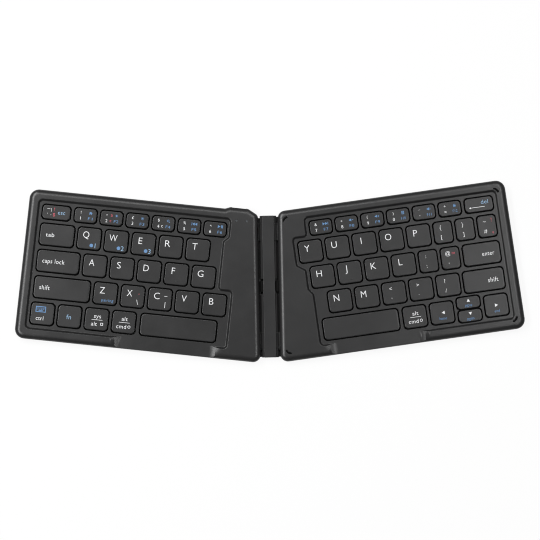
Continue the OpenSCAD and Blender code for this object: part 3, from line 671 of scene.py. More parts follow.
def crescent(name, case, which, spare, top, steps=14):
    """A strip let into a corner of the right rim: a box section with rounded ends carried along an arc."""
    far, rear, front = case.half_reach - BUMPER_IN, case.rear_reach - BUMPER_IN, BUMPER_IN - case.front_reach
    centre, middle = [((far, rear), 45), ((far, front), -45),
                      ((hinge_x(rear) + BUMPER_NEAR, rear + 0.4), 130),
                      ((hinge_x(front) + BUMPER_NEAR, front - 0.2), -130)][which]
    a = math.radians(middle) + BUMPER_SWEEP * (np.linspace(0, 1, steps) - 0.5)
    from_end = np.minimum(np.arange(steps), np.arange(steps)[::-1])
    narrow = np.sqrt(1 - 0.75 * (1 - np.minimum(1, from_end / 2)) ** 2)
    w = (BUMPER_W / 2 + spare) * narrow[:, None]
    r = BUMPER_ARC + w * [-1, 1, 1, -1]
    z = np.broadcast_to(np.array([RIM_TOP - BUMPER_T - spare] * 2 + [top] * 2), r.shape)
    rings = np.stack([centre[0] + r * np.cos(a)[:, None], centre[1] + r * np.sin(a)[:, None], z], -1)
    return loft(name, rings[:, ::-1], 1)


def caps_of(node):
    """Middle, width and depth (x, y, w, d) of each of a node's caps, from the left as one sits in front.

    A cap's points all lie within its corner radius of either end, so the spans between wide gaps
    in x pair up as the two ends of a cap.
    """
    side = side_of(node)
    local = to_half(points_of(frame["nodes"][node].data), side)
    x = np.sort(local[:, 0])
    ends = np.split(x, np.flatnonzero(np.diff(x) > 1.5) + 1)
    y0, y1 = local[:, 1].min(), local[:, 1].max()
    caps = [((a[0] + b[-1]) / 2, (y0 + y1) / 2, b[-1] - a[0], y1 - y0) for a, b in zip(ends[::2], ends[1::2])]
    return caps[::side]


# ---------- Marks on the caps ----------

# Heights of marks, and where on a cap they lie
LETTER, SYMBOL, WORD, SMALL = 3.8, 2.2, 2.3, 1.6
AT_LETTER = (-1.9, 1.8)
AT_PAIR = ((-1.8, 2.7), (-1.8, -3.0))
AT_NARROW_PAIR = ((-1.3, 2.7), (-1.3, -3.0))
# Share of the letters' thinning that all smaller marks get
THINNER_SMALL = 0.3


def rect(x, y, w, h):
    """A rectangle of an icon round (x, y)."""
    return np.array([[-w, -h], [w, -h], [w, h], [-w, h]]) / 2 + [x, y]


def ring(x, y, r, t, start=0, sweep=360, count=20):
    """A band of thickness t round (x, y), as quads, from the angle start on."""
    a = np.radians(start + np.linspace(0, sweep, count + 1))
    arc = np.column_stack([np.cos(a), np.sin(a)])
    inner, outer = arc * (r - t) + [x, y], arc * r + [x, y]
    return [np.array([inner[i], outer[i], outer[i + 1], inner[i + 1]]) for i in range(count)]


def rays(r0, r1, t, count=8):
    """Short bars that stand out round a middle."""
    bars = []
    for k in range(count):
        c, s = math.cos(2 * math.pi * k / count), math.sin(2 * math.pi * k / count)
        bars.append(rect((r0 + r1) / 2, 0, r1 - r0, t) @ np.array([[c, s], [-s, c]]))
    return bars


def frame_of(w, h, t):
    """A rectangular frame as four bars."""
    return [rect(0, (h - t) / 2, w, t), rect(0, (t - h) / 2, w, t),
            rect((t - w) / 2, 0, t, h - 2 * t), rect((w - t) / 2, 0, t, h - 2 * t)]


RIGHTWARDS = np.array([[-0.45, -0.5], [0.45, 0.0], [-0.45, 0.5]])
LEFTWARDS = RIGHTWARDS[::-1] * [-1, 1]
SPEAKER = [np.array([[-0.75, -0.2], [-0.45, -0.2], [0, -0.5], [0, 0.5], [-0.45, 0.2], [-0.75, 0.2]])]
# Icons about one unit high round the origin, each a list of polygons
ICONS = {
    "house": [np.array([[-0.65, 0.0], [0.65, 0.0], [0.0, 0.55]]), rect(-0.28, -0.25, 0.22, 0.5),
              rect(0.28, -0.25, 0.22, 0.5), rect(0, -0.08, 0.34, 0.16)],
    "sun": [circle(0.22, 12), *rays(0.32, 0.52, 0.13)],
    "dim_sun": [circle(0.3, 12), *rays(0.4, 0.5, 0.13, 6)],
    "lens": [*ring(-0.1, 0.1, 0.4, 0.13), rect(0, -0.55, 0.15, 0.35) @ np.array([[0.7, 0.7], [-0.7, 0.7]])],
    "back": [rect(-0.95, 0, 0.16, 1), LEFTWARDS * [0.9, 1] - [0.4, 0], LEFTWARDS * [0.9, 1] + [0.5, 0]],
    "onward": [rect(0.95, 0, 0.16, 1), RIGHTWARDS * [0.9, 1] - [0.5, 0], RIGHTWARDS * [0.9, 1] + [0.4, 0]],
    "play": [RIGHTWARDS - [0.45, 0], rect(0.35, 0, 0.22, 1), rect(0.75, 0, 0.22, 1)],
    "quieter": [*SPEAKER, rect(0.45, 0, 0.5, 0.16)],
    "louder": [*SPEAKER, rect(0.45, 0, 0.56, 0.16), *[rect(0.45, y, 0.16, 0.3) for y in (0.23, -0.23)]],
    "mute": [*SPEAKER, *ring(0.05, 0, 0.42, 0.14, -60, 120, 8)],
    "sheet": [*frame_of(0.85, 1.1, 0.2), rect(0, 0, 0.3, 0.2)],
    "lock": [rect(0, -0.25, 0.85, 0.6), *ring(0, 0.08, 0.34, 0.13, 0, 180, 10)],
    "keyboard": [*frame_of(2.6, 1.5, 0.2), *[rect(x, y, 0.24, 0.2) for y in (0.28, -0.02)
                                            for x in (-0.75, -0.25, 0.25, 0.75)], rect(0, -0.35, 1.1, 0.16)],
    "left": [LEFTWARDS], "right": [RIGHTWARDS],
    "up": [RIGHTWARDS @ np.array([[0, 1], [-1, 0]])], "down": [RIGHTWARDS @ np.array([[0, -1], [1, 0]])],
    "disc": [circle(0.5, 20)], "square": frame_of(0.9, 0.9, 0.16), "loop": ring(0, 0, 0.5, 0.16),
    "line": [rect(0, 0, 1, 0.035)], "return": [rect(0.1, 0, 1.0, 0.03), LEFTWARDS * [0.12, 0.14] - [0.44, 0]],
    "tick": [rect(0, 0, 0.8, 0.08)],
}


def inked(ink):
    """What makes a mark in one ink of a word or icon, its middle from the cap's, its height and its width."""
    return lambda what, at, height, width=0.0: (what, ink, at, height, width)


INKS = ("white", "blue", "pale", "red")
white, blue, pale, red = map(inked, INKS)


def letter(text, *more):
    return [white(text, AT_LETTER, LETTER), *more]


def number(texts, *more):
    """A number key: the symbol over the digit, and the second function's icon over its name."""
    symbol, digit, icon, function = texts.split()
    return [white(symbol, (-2.8, 1.7), SMALL), white(digit, (-2.8, -1.7), SMALL + 0.2),
            blue(icon, (2.9, 1.6), 1.7), blue(function, (2.9, -1.7), SMALL, 2.7), *more]


def pair(upper, lower, at=AT_PAIR, *more):
    """A key with two symbols, one over the other."""
    return [white(upper, at[0], SYMBOL), white(lower, at[1], SYMBOL), *more]


def linked(number_text):
    """The second function of the first three letters: a plain disc and its number."""
    return [blue("disc", (1.7, -3.9), 2.1), pale(number_text, (3.9, -3.9), 2.7)]


def two_words(upper, lower, icon):
    """A key with one word over another, and a line between them."""
    return [white(upper, (0.4, 2.0), WORD), white("line", (0.3, -0.2), 6.4),
            white(lower, (-1.2, -2.6), WORD), white(icon, (3.3, -2.5), 1.7)]


MARKS = {
    "left_escape_key": [[pale("esc", (3.1, 0.2), 2.3, 4.2), white("tick", (-4.6, 1.9), 2.2),
                         white("|", (-3.0, 1.2), 1.6), white("`", (-5.2, -0.9), 2.0),
                         white(".", (-3.0, -1.6), 2.0), red("!", (-1.2, 1.8), 2.0),
                         red("$", (-1.2, -1.5), 2.0)]],
    "left_number_keys": [number("! 1 house F1"),
                         number('" 2 dim_sun F2', red("a", (0.0, 1.6), 2.0), red("c", (-0.4, -1.7), 1.8)),
                         number("£ 3 sun F3"),
                         number("$ 4 lens F4", white("c", (-0.6, -1.7), 1.8)),
                         number("% 5 back F5"), number("^ 6 play F6")],
    "left_tab_key": [[white("tab", (-4.0, -0.1), WORD, 5.0)]],
    "left_top_letter_keys": [letter("Q", *linked("1")), letter("W", *linked("2")), letter("E", *linked("3")),
                             letter("R"), letter("T")],
    "left_caps_key": [[white("caps lock", (-2.7, 0.1), 2.5, 13.0)]],
    "left_home_letter_keys": [letter(text) for text in "ASDFG"],
    "left_shift_key": [[white("shift", (-10.2, 0.0), 2.6, 6.0)]],
    "left_lower_letter_keys": [letter("Z", blue("pairing", (1.6, -3.8), 1.7, 7.0)),
                               letter("X", white("\\", (3.0, -3.1), 2.8), red("'", (3.6, 1.6), 2.2)),
                               letter("C", white("tick", (3.3, 2.0), 2.4), white("|", (3.3, -3.1), 2.6)),
                               letter("V"), letter("B")],
    "left_control_key": [[blue("keyboard", (-1.1, 2.6), 2.3), white("ctrl", (-1.3, -2.6), WORD, 4.4)]],
    "left_function_key": [[pale("fn", (-0.3, -0.2), 2.6)]],
    "left_system_key": [two_words("sys", "alt", "square")],
    "left_alt_key": [two_words("alt", "cmd", "loop")],
    "left_space_key": [[]],
    "right_number_keys": [number(texts) for texts in (
        "& 7 onward F7", "* 8 quieter F8", "( 9 louder F9", ") 0 sheet F10", "_ - mute F11", "+ = lock F12")],
    "right_delete_key": [[pale("del", (3.4, 1.3), 2.4, 4.2), white("return", (-1.4, -1.5), 8.4)]],
    "right_top_letter_keys": [letter(text) for text in "YUIOP"],
    "right_open_bracket_key": [pair("{", "[", AT_NARROW_PAIR)],
    "right_close_bracket_key": [pair("}", "]", AT_NARROW_PAIR)],
    "right_hash_key": [pair("~", "#", AT_NARROW_PAIR, red("!", (2.9, 3.5), 2.2), red("v", (2.9, -4.2), 1.8))],
    "right_home_letter_keys": [letter(text) for text in "HJKL"],
    "right_semicolon_key": [pair(":", ";", AT_NARROW_PAIR)],
    "right_quote_key": [pair("@", "'", AT_NARROW_PAIR, red("m", (2.0, 2.7), 1.8))],
    "right_enter_key": [[white("enter", (3.7, -0.2), 2.5, 7.2)]],
    "right_lower_letter_keys": [letter("N"), letter("M"), pair("<", ","), pair(">", "."), pair("?", "/")],
    "right_shift_key": [[white("shift", (5.4, -0.3), 2.6, 6.0)]],
    "right_space_key": [[]],
    "right_alt_key": [two_words("alt", "cmd", "loop")],
    "right_left_arrow_key": [[white("left", (0.6, 0.1), 2.0), blue("home", (0.1, -3.2), SMALL, 4.2)]],
    "right_up_arrow_key": [[white("up", (0.1, 1.3), 1.9), blue("pgup", (0.0, -1.4), SMALL, 4.0)]],
    "right_down_arrow_key": [[white("down", (0.3, 1.2), 1.9), blue("pgdn", (0.1, -1.6), SMALL, 4.0)]],
    "right_right_arrow_key": [[white("right", (0.0, 0.1), 2.0), blue("end", (-0.1, -3.3), SMALL, 3.0)]],
}
# Widths of some letters as shares of the default font's
LETTER_SHAPE = {"Q": 0.9, "W": 0.82, "A": 0.88, "X": 0.84, "V": 0.88, "Z": 0.9, "D": 0.92, "S": 1.08,
                "E": 1.06, "R": 1.08, "O": 0.94, "M": 0.9, "N": 0.92}
# Which cap of its row bears a homing bar, and where on it
HOMING_KEYS = {"left_home_letter_keys": (3, 0.8), "right_home_letter_keys": (1, 0.1)}
HOMING_V, HOMING_SUNK = -4.1, 0.15


def flat_text(text, thinner=0.0):
    """Points and faces of a word in the default font, lying flat, with its strokes thinned on either side."""
    curve = bpy.data.curves.new("word", "FONT")
    curve.body = text
    curve.offset = -thinner
    curve.space_character = 1.0 + 0.08 * (len(text) > 1)
    curve.resolution_u = 3
    obj = bpy.data.objects.new("word", curve)
    bpy.context.scene.collection.objects.link(obj)
    bpy.context.view_layer.update()
    mesh = bpy.data.meshes.new_from_object(obj.evaluated_get(bpy.context.evaluated_depsgraph_get()))
    points, faces = points_of(mesh, 1)[:, :2], faces_of(mesh)
    bpy.data.objects.remove(obj)
    bpy.data.curves.remove(curve)
    bpy.data.meshes.remove(mesh)
    return points, faces


def flat_icon(polygons):
    """Points and faces of an icon."""
    counts = np.cumsum([0, *[len(p) for p in polygons]])
    return np.vstack(polygons), [list(range(a, b)) for a, b in zip(counts, counts[1:])]


def printed(points, faces, low, high):
    """A flat print as a closed solid: its faces above and below, and a wall on each edge with one face."""
    n = len(points)
    directed = {(face[k - 1], face[k]) for face in faces for k in range(len(face))}
    walls = [[a + n, b + n, b, a] for a, b in directed if (b, a) not in directed]
    solid = np.vstack([np.column_stack([points, high]), np.column_stack([points, low])])
    return solid, [*faces, *[[v + n for v in face[::-1]] for face in faces], *walls]


def cap_top_z(u, v, w, d, caps):
    """Height of a cap's dished top.

    It lies below the edge by the dish times (1 - (u / half width)^2) (1 - (v / half depth)^2).
    """
    hollow = (1 - (2 * u / (w - 2 * caps.bevel)) ** 2) * (1 - (2 * v / (d - 2 * caps.bevel)) ** 2)
    return CAP_TOP - caps.dish * np.clip(hollow, 0, 1)


def cap_surface(w, d, caps):
    """Rings of a cap and their wear: from its ceiling down inside the skirt, up outside and in over its top.

    The skirt rises along the full outline and the edge is a quarter round. Inside the edge the top's
    outline is shrunk in steps and lies on the dish.
    """
    full = rectangle(w, d, caps.corner_r)
    edge = outline(full, caps.bevel, 6)
    rings, wear = [], []
    for share in (0.15, 0.4, 0.6, 0.78, 0.9, 0.97, 1.0):
        spot = edge * share
        rings.append(level(spot, cap_top_z(spot[:, 0], spot[:, 1], w, d, caps)))
        wear.append(max(0.0, (share - 0.9) * 6))
    for inset, rise in quarter(caps.bevel, 6)[::-1][1:]:
        rings.append(contour(full, CAP_TOP - caps.bevel + rise, inset, 6))
        wear.append(0.3 + 0.7 * rise / caps.bevel)
    rings += [contour(full, z, inset, 6) for z, inset in (
        (CAP_BOTTOM, 0.0), (CAP_BOTTOM, caps.skirt), (CAP_TOP - caps.top_t, caps.skirt))]
    return rings[::-1], np.array([*wear, 0, 0, 0])[::-1]


def keep_wear(mesh, wear):
    """Keeps how worn a mesh's points are, for its finish: one value for all or one for each."""
    values = np.full(len(mesh.vertices), wear)
    mesh.attributes.new("wear", "FLOAT", "POINT").data.foreach_set("value", values)


def build_caps(node, caps, material):
    """The caps of a node, as one piece that stands for it."""
    side, points, faces, wear, start = side_of(node), [], [], [], 0
    for x, y, w, d in caps_of(node):
        rings, ring_wear = cap_surface(w, d, caps)
        rings = np.array(rings) + [x, y, 0]
        count = rings.shape[1]
        faces += shifted(loft_faces(len(rings), count), start)
        points.append(to_row(rings, side).reshape(-1, 3))
        wear.append(np.repeat(ring_wear, count))
        start += len(rings) * count
    flipped = [face[::-1] for face in faces] if side < 0 else faces
    obj = new_object(f"{node}_caps", np.vstack(points), flipped)
    keep_wear(obj.data, np.concatenate(wear))
    set_faces(obj.data, "use_smooth", [len(face) == 4 for face in flipped])
    return dress(obj, [material], node, "keycap", node)


def build_marks(node, caps, legend, inks):
    """The legends of a node's caps as one piece: each mark is scaled, placed and laid on its cap's dish."""
    side = side_of(node)
    points, faces, colours, start = [], [], [], 0
    capital = np.ptp(flat_text("H")[0][:, 1])
    for (x, y, w, d), marks in zip(caps_of(node), MARKS[node], strict=True):
        for what, ink, at, height, width in marks:
            is_icon = what in ICONS and len(what) > 1
            thinner = legend.thinner * (1.0 if height == LETTER else THINNER_SMALL)
            flat, flat_faces = flat_icon(ICONS[what]) if is_icon else flat_text(what, thinner)
            scale = height if is_icon else height / capital
            flat = flat * [scale * LETTER_SHAPE.get(what, 1), scale]
            if width:
                flat = flat * [width / np.ptp(flat[:, 0]), 1]
            anchor = (flat.min(0) + flat.max(0)) / 2
            if not is_icon and what.islower() and len(what) > 1:
                anchor[1] = height / 2
            spot = flat - anchor + at
            z = cap_top_z(spot[:, 0], spot[:, 1], w, d, caps)
            low, high = z - legend.print_t / 2, z + legend.print_t / 2
            solid, solid_faces = printed(spot + [side * x, y], flat_faces, low, high)
            points.append(turned(solid, side * SPLAY) + [0, SPLAY_Y, 0])
            faces += shifted(solid_faces, start)
            colours += [INKS.index(ink)] * len(solid_faces)
            start += len(solid)
    if not points:
        return
    obj = new_object(node.replace("_keys", "").replace("_key", "") + "_legends", np.vstack(points), faces)
    set_faces(obj.data, "material_index", colours)
    set_faces(obj.data, "use_smooth", False)
    dress(obj, inks, node, "keycap")


# ---------- Operators ----------

# Each lamp's place, width and length in metres, and its power as a share of the setting
LAMPS = {"left_strip": ((-0.64, 0.22, 1.0), 0.26, 1.4, 2.0),
         "right_strip": ((0.42, 0.25, 1.1), 0.15, 1.2, 0.7),
         "rear_lamp": ((-0.16, 0.5, 1.1), 0.6, 0.15, 0.35)}
# The floor in metres: its reach, where it starts to rise, and how steeply
FLOOR_REACH, FLOOR_FLAT, FLOOR_RISE = 3.2, 1.6, 0.35
FLOOR_GLOW, WORLD_LIGHT = 0.9, 0.08
PIXEL_FILTER = 1.1


class KEYBOARD_OT_stage(bpy.types.Operator):
    """Sets up the camera, the lamps, the world and the floor"""
    bl_idname = "keyboard.stage"
    bl_label = "Stage"

    def execute(self, context):
        stage = context.scene.keyboard_stage
        self.camera(context, stage)
        self.lamps(context, stage)
        self.floor()
        self.world(context)
        context.scene.view_settings.view_transform = "Standard"
        context.scene.cycles.filter_width = PIXEL_FILTER
        return {"FINISHED"}

    def camera(self, context, stage):
        c, s = math.cos(stage.elevation), math.sin(stage.elevation)
        right = Vector((math.cos(stage.azimuth), math.sin(stage.azimuth), 0))
        back = Vector((math.sin(stage.azimuth) * c, -math.cos(stage.azimuth) * c, s))
        target = Vector((stage.target_x, stage.target_y, CAP_TOP)) * MM
        data = bpy.data.cameras.new("camera")
        data.sensor_width = 36
        data.lens = stage.focal_px / stage.picture_px * data.sensor_width
        data.clip_start, data.clip_end = 0.01, 20
        camera = bpy.data.objects.new("camera", data)
        axes = Matrix((right, back.cross(right), back)).transposed()
        camera.matrix_world = Matrix.Translation(target + back * stage.distance) @ axes.to_4x4()
        context.scene.collection.objects.link(camera)
        context.scene.camera = camera

    def lamps(self, context, stage):
        """A long lamp overhead on either side of the camera, the left one stronger, and a weak one behind."""
        for name, (place, wide, tall, share) in LAMPS.items():
            data = bpy.data.lights.new(name, "AREA")
            data.shape, data.size, data.size_y, data.energy = "RECTANGLE", wide, tall, stage.lamp_w * share
            lamp = bpy.data.objects.new(name, data)
            back = Vector(place).normalized()
            across = Vector((0, 1, 0)).cross(back).normalized()
            axes = Matrix((across, back.cross(across), back)).transposed()
            lamp.matrix_world = Matrix.Translation(place) @ axes.to_4x4()
            context.scene.collection.objects.link(lamp)

    def floor(self, rings=16, count=64):
        """A wide disc that rises at its edge: radius t, height k (t - t0)^2 beyond t0."""
        t = np.concatenate([[0.02], np.linspace(0.4, FLOOR_REACH, rings - 1)]) / MM
        rise = FLOOR_RISE * np.maximum(t * MM - FLOOR_FLAT, 0) ** 2 / MM
        grid = np.vstack([level(circle(radius, count), z) for radius, z in zip(t, rise)])
        floor = new_object("floor", grid, [face[::-1] for face in loft_faces(rings, count)[:-1]])
        finish = Finish("pale_floor", (0.88, 0.88, 0.88), 0.9)
        seen = finish.add("ShaderNodeLightPath")
        glow = finish.add("ShaderNodeEmission", (), {"Color": (1, 1, 1, 1), "Strength": 1.0})["Emission"]
        bare = Wire(finish, finish.shader.outputs["BSDF"])
        factor = FLOOR_GLOW * (seen["Is Camera Ray"] + seen["Is Transmission Ray"]).clamped()
        shown = finish.add("ShaderNodeMixShader", (), {0: factor, 1: bare, 2: glow})[0]
        finish.feed(finish.tree.nodes["Material Output"].inputs["Surface"], shown)
        floor.data.materials.append(finish.material)

    def world(self, context):
        """Dim and even for the object, and white where it is seen."""
        world = bpy.data.worlds.new("studio")
        world.use_nodes = True
        tree = world.node_tree
        tree.nodes.clear()
        out = tree.nodes.new("ShaderNodeOutputWorld")
        path, mix = tree.nodes.new("ShaderNodeLightPath"), tree.nodes.new("ShaderNodeMixShader")
        tree.links.new(path.outputs["Is Camera Ray"], mix.inputs[0])
        for index, strength in ((1, WORLD_LIGHT), (2, 1.0)):
            light = tree.nodes.new("ShaderNodeBackground")
            light.inputs["Color"].default_value = (1, 1, 1, 1)
            light.inputs["Strength"].default_value = strength
            tree.links.new(light.outputs[0], mix.inputs[index])
        tree.links.new(mix.outputs[0], out.inputs["Surface"])
        context.scene.world = world


class KEYBOARD_OT_top_cases(bpy.types.Operator):
    """Builds the two top cases, with their decks, key holes, knuckles and ports"""
    bl_idname = "keyboard.top_cases"
    bl_label = "Top cases"

    def execute(self, context):
        case, caps = context.scene.keyboard_case, context.scene.keyboard_caps
        # The third finish is painted shade: the case's plastic at 0.15 of its tone, for the shade in the key
        # holes, on the step and round the knuckles
        materials = [moulded_plastic("case_plastic", case.plastic, 0.32),
                     moulded_plastic("case_plastic_edges", case.plastic, 0.31, worn=0.12),
                     moulded_plastic("case_plastic_walls", case.plastic, 0.8, 0.15)]
        for half in SIDES:
            self.build(half, case, caps, materials)
        return {"FINISHED"}

    def build(self, half, case, caps, materials):
        side, corners, screws = SIDES[half], case_corners(half, case), screw_places(case)
        deck_under = RIM_TOP - case.deck_drop - case.deck_t
        top = [contour(corners, RIM_TOP - case.top_edge_r * (1 - rise), inset * case.top_edge_w)
               for inset, rise in quarter(1, 9)]
        body = loft(f"{half}_top_shell", [contour(corners, SEAM_Z), *top], side)
        rooms = [prism("room", outline(corners, case.wall), SEAM_Z - OVER, deck_under, side)]
        rooms += [block("bay", x, y, (deck_under - OVER, BAY_CEILING), side) for x, y in BAYS[half]]
        added = posts("boss", screws, SCREW_R + 0.9, (FLOOR_Z, BAY_CEILING + 0.3), side)
        for y in KNUCKLES:
            ends = (y - KNUCKLE_LEN / 2, y + KNUCKLE_LEN / 2)
            added += [bar("knuckle", PIN_X, ends, PIN_Z, BARREL_R, side),
                      block("web", (PIN_X, HINGE_WALL + OVER), ends, (SEAM_Z, PIN_Z), side, in_row=True)]
        holes = key_holes(half, case, caps)
        # The bosses, the knuckles with their webs, and the hole walls take the painted-shade finish
        for tool in (*added, *holes):
            set_faces(tool.data, "material_index", PAINTED_SHADE_INDEX)
        cuts = [deck_pocket("pocket", half, case), thumb_scoop("scoop", half, case), *holes,
                *posts("bore", screws, SCREW_R + 0.02, (FLOOR_Z - OVER, FLOOR_Z + 3), side)]
        cuts += [bar("pin_bore", PIN_X, (y - KNUCKLE_LEN, y + KNUCKLE_LEN), PIN_Z, PIN_R + 0.01, side)
                 for y in KNUCKLES]
        cuts.append(block("cable_slot", (0, HINGE_WALL + 6), CABLE_SLOT, (SEAM_Z - OVER, SEAM_Z + 1.6), side,
                          in_row=True))
        if half == "left":
            port = to_half(points_of(frame["nodes"]["charge_port"].data), side)
            x, y, z = np.array([port.min(0), port.max(0)]).T
            cuts.append(block("port_hole", x + [-0.3, 0.3], y + [-0.3, 3], z + [-0.2, 0.2], side))
            lights = [(PORT_X + x, case.rear_reach - y) for x, y in LIGHTS]
            cuts += posts("light_hole", lights, LIGHT_R + 0.05, (PIN_Z, RIM_TOP + 2), side)
        else:
            cuts += [crescent("groove", case, k, 0.05, RIM_TOP + OVER) for k in range(4)]
        machined(body, materials, ("DIFFERENCE", rooms), ("UNION", added), ("DIFFERENCE", cuts),
                 crisp_r=case.crisp_r)
        dress(body, materials, f"{half}_half", "case", f"{half}_top_case")


class KEYBOARD_OT_underside(bpy.types.Operator):
    """Builds the bottom covers with their feet and screws"""
    bl_idname = "keyboard.underside"
    bl_label = "Underside"

    def execute(self, context):
        case = context.scene.keyboard_case
        plastic = moulded_plastic("cover_plastic", case.plastic, 0.52)
        edges = moulded_plastic("cover_plastic_edges", case.plastic, 0.45, worn=0.5)
        rubber = soft_rubber("foot_rubber", (0.012, 0.012, 0.012))
        steel = drawn_metal("screw_steel", (0.10, 0.10, 0.105), 0.38)
        for half in SIDES:
            self.cover(half, case, [plastic, edges])
            self.feet(half, case, rubber)
            self.screws(half, case, steel)
        return {"FINISHED"}

    def cover(self, half, case, materials):
        """A tray with a rounded bottom edge and a fine groove at the seam, pocketed for feet and screws."""
        side, corners = SIDES[half], case_corners(half, case)
        bottom = [contour(corners, GROUND_GAP + case.bottom_edge_r - rise, inset)
                  for inset, rise in quarter(case.bottom_edge_r, 8)[::-1]]
        seam = [contour(corners, SEAM_Z - SEAM_GROOVE), contour(corners, SEAM_Z, SEAM_GROOVE)]
        body = loft(f"{half}_bottom_shell", [*bottom, *seam], side)
        cuts = [prism("tray", outline(corners, case.wall), FLOOR_Z, SEAM_Z + OVER, side)]
        for places, r, top in ((foot_places(case), FOOT_R, GROUND_GAP + FOOT_POCKET),
                               (screw_places(case), SCREW_HEAD_R, GROUND_GAP + SCREW_SUNK + SCREW_HEAD_T),
                               (screw_places(case), SCREW_R, SEAM_Z)):
            cuts += posts("pocket", places, r + 0.1, (0, top), side)
        lip = block("lip", (SPINE_EDGE - 0.3, HINGE_WALL + case.wall + 0.7), LIP_ENDS[half],
                    (GROUND_GAP, GROUND_GAP + LIP_T), side, in_row=True)
        machined(body, materials, ("UNION", [lip]), ("DIFFERENCE", cuts), crisp_r=case.crisp_r)
        dress(body, materials, f"{half}_half", "case", f"{half}_bottom_cover")

    def feet(self, half, case, material):
        """Round pads with a rolled edge and a shallow ring in the face."""
        top = GROUND_GAP + FOOT_POCKET
        face = [(0, 0.1), (FOOT_R - 1.5, 0.1), (FOOT_R - 1.2, 0.0), (FOOT_R - 0.4, 0.0)]
        profile = [*face, (FOOT_R - 0.12, 0.1), (FOOT_R, 0.35), (FOOT_R, top - 0.05),
                   (FOOT_R - 0.05, top), (0, top)]
        pads = [lathe("foot", place, profile, SIDES[half]) for place in foot_places(case)]
        dress(joined(f"{half}_foot_pads", pads), [material], f"{half}_half", "rubber", f"{half}_feet")

    def screws(self, half, case, material):
        """Small screws with a cross recess in a domed head."""
        side, head = SIDES[half], GROUND_GAP + SCREW_SUNK
        neck, tip = head + SCREW_HEAD_T, head + SCREW_LEN
        dome = [(0, head), (0.9, head), (1.25, head + 0.1), (SCREW_HEAD_R, head + 0.28)]
        profile = [*dome, (SCREW_HEAD_R, neck), (SCREW_R, neck), (SCREW_R, tip - SCREW_TIP),
                   (SCREW_R - SCREW_TIP, tip), (0, tip)]
        screws = []
        for x, y in screw_places(case):
            screw = lathe("screw", (x, y), profile, side, 32)
            cross = [block("slot", (x - a, x + a), (y - b, y + b), (0, head + 0.3), side)
                     for a, b in ((0.75, 0.14), (0.14, 0.75))]
            screws.append(machined(screw, [], ("DIFFERENCE", cross), crisp_r=0.03))
        dress(joined(f"{half}_cross_screws", screws), [material], f"{half}_half", "steel", f"{half}_screws")


class KEYBOARD_OT_hinge(bpy.types.Operator):
    """Builds the spine between the halves, with its cover"""
    bl_idname = "keyboard.hinge"
    bl_label = "Hinge"

    def execute(self, context):
        case = context.scene.keyboard_case
        plain = moulded_plastic("spine_plastic", case.plastic, 0.33, 0.8)
        edges = moulded_plastic("spine_plastic_edges", case.plastic, 0.33, worn=0.1)
        # Black plastic for the spine's base, darkened to 0.15 of the case's tone as painted shade for the
        # groove beside the spine
        black_with_painted_shade = moulded_plastic("hinge_plastic", case.plastic, 0.8, 0.15)
        self.cover([plain, edges])
        self.base([black_with_painted_shade, black_with_painted_shade])
        steel = drawn_metal("pin_steel", (0.04, 0.04, 0.042), 0.45, (1, 0.1, 1))
        recoat(["left_hinge_pins", "right_hinge_pins"], steel)
        recoat(["flex_cable"], soft_rubber("cable_film", (0.003, 0.003, 0.003)))
        return {"FINISHED"}

    def strip(self, name, z, edge_r, end_r=0.3, count=5):
        """A bar over the spine's width, drawn in at its ends, with rounded upper edges."""
        ends = [(SPINE_HALF - end_r + rise, inset) for inset, rise in quarter(end_r, count)]
        rings = []
        for y, inset in [(-y, inset) for y, inset in ends[::-1]] + ends:
            x, top = SPINE_EDGE - inset, z[1] - inset
            arc = [(x - edge_r + edge_r * math.cos(a), top - edge_r + edge_r * math.sin(a))
                   for a in np.linspace(0, math.pi / 2, count)]
            right = np.array([(x, z[0]), *arc])
            rings.append(upright(np.vstack([right[::-1], right * [-1, 1]]), y))
        return loft(name, rings, in_row=True)

    def rooms(self):
        """Room for the knuckles of both halves to turn in."""
        reach = KNUCKLE_LEN / 2 + RUN
        return [bar("knuckle_room", PIN_X, (y - reach, y + reach), PIN_Z, BARREL_R + RUN, side)
                for side in SIDES.values() for y in KNUCKLES]

    def cover(self, materials):
        """One unbroken strip over both pins."""
        body = self.strip("spine_cap", (SPINE_SPLIT, SPINE_TOP), 0.25)
        machined(body, materials, ("DIFFERENCE", self.rooms()), crisp_r=0.03)
        dress(body, materials, "spine", "case", "spine_cover")

    def base(self, materials):
        """A block with a barrel round each pin, bored for the pins and cut through for the cable."""
        body = self.strip("spine_base", (SPINE_FOOT, SPINE_SPLIT), 0.03)
        barrels = [bar("barrel", PIN_X, (0.05 - SPINE_HALF, SPINE_HALF - 0.05), PIN_Z, BARREL_R, side)
                   for side in SIDES.values()]
        bore = (SPINE_HALF - PIN_END, SPINE_HALF + OVER)
        bores = [bar("pin_bore", PIN_X, ends, PIN_Z, PIN_R + 0.03, side) for side in SIDES.values()
                 for ends in (bore, (-bore[1], -bore[0]))]
        cable_bay = block("cable_bay", (-HINGE_WALL, HINGE_WALL), CABLE_SLOT, (SEAM_Z, RIM_TOP), in_row=True)
        cuts = [*self.rooms(), *bores, cable_bay]
        machined(body, materials, ("UNION", barrels), ("DIFFERENCE", cuts), crisp_r=0.06)
        dress(body, materials, "spine", "case", "hinge_spine")


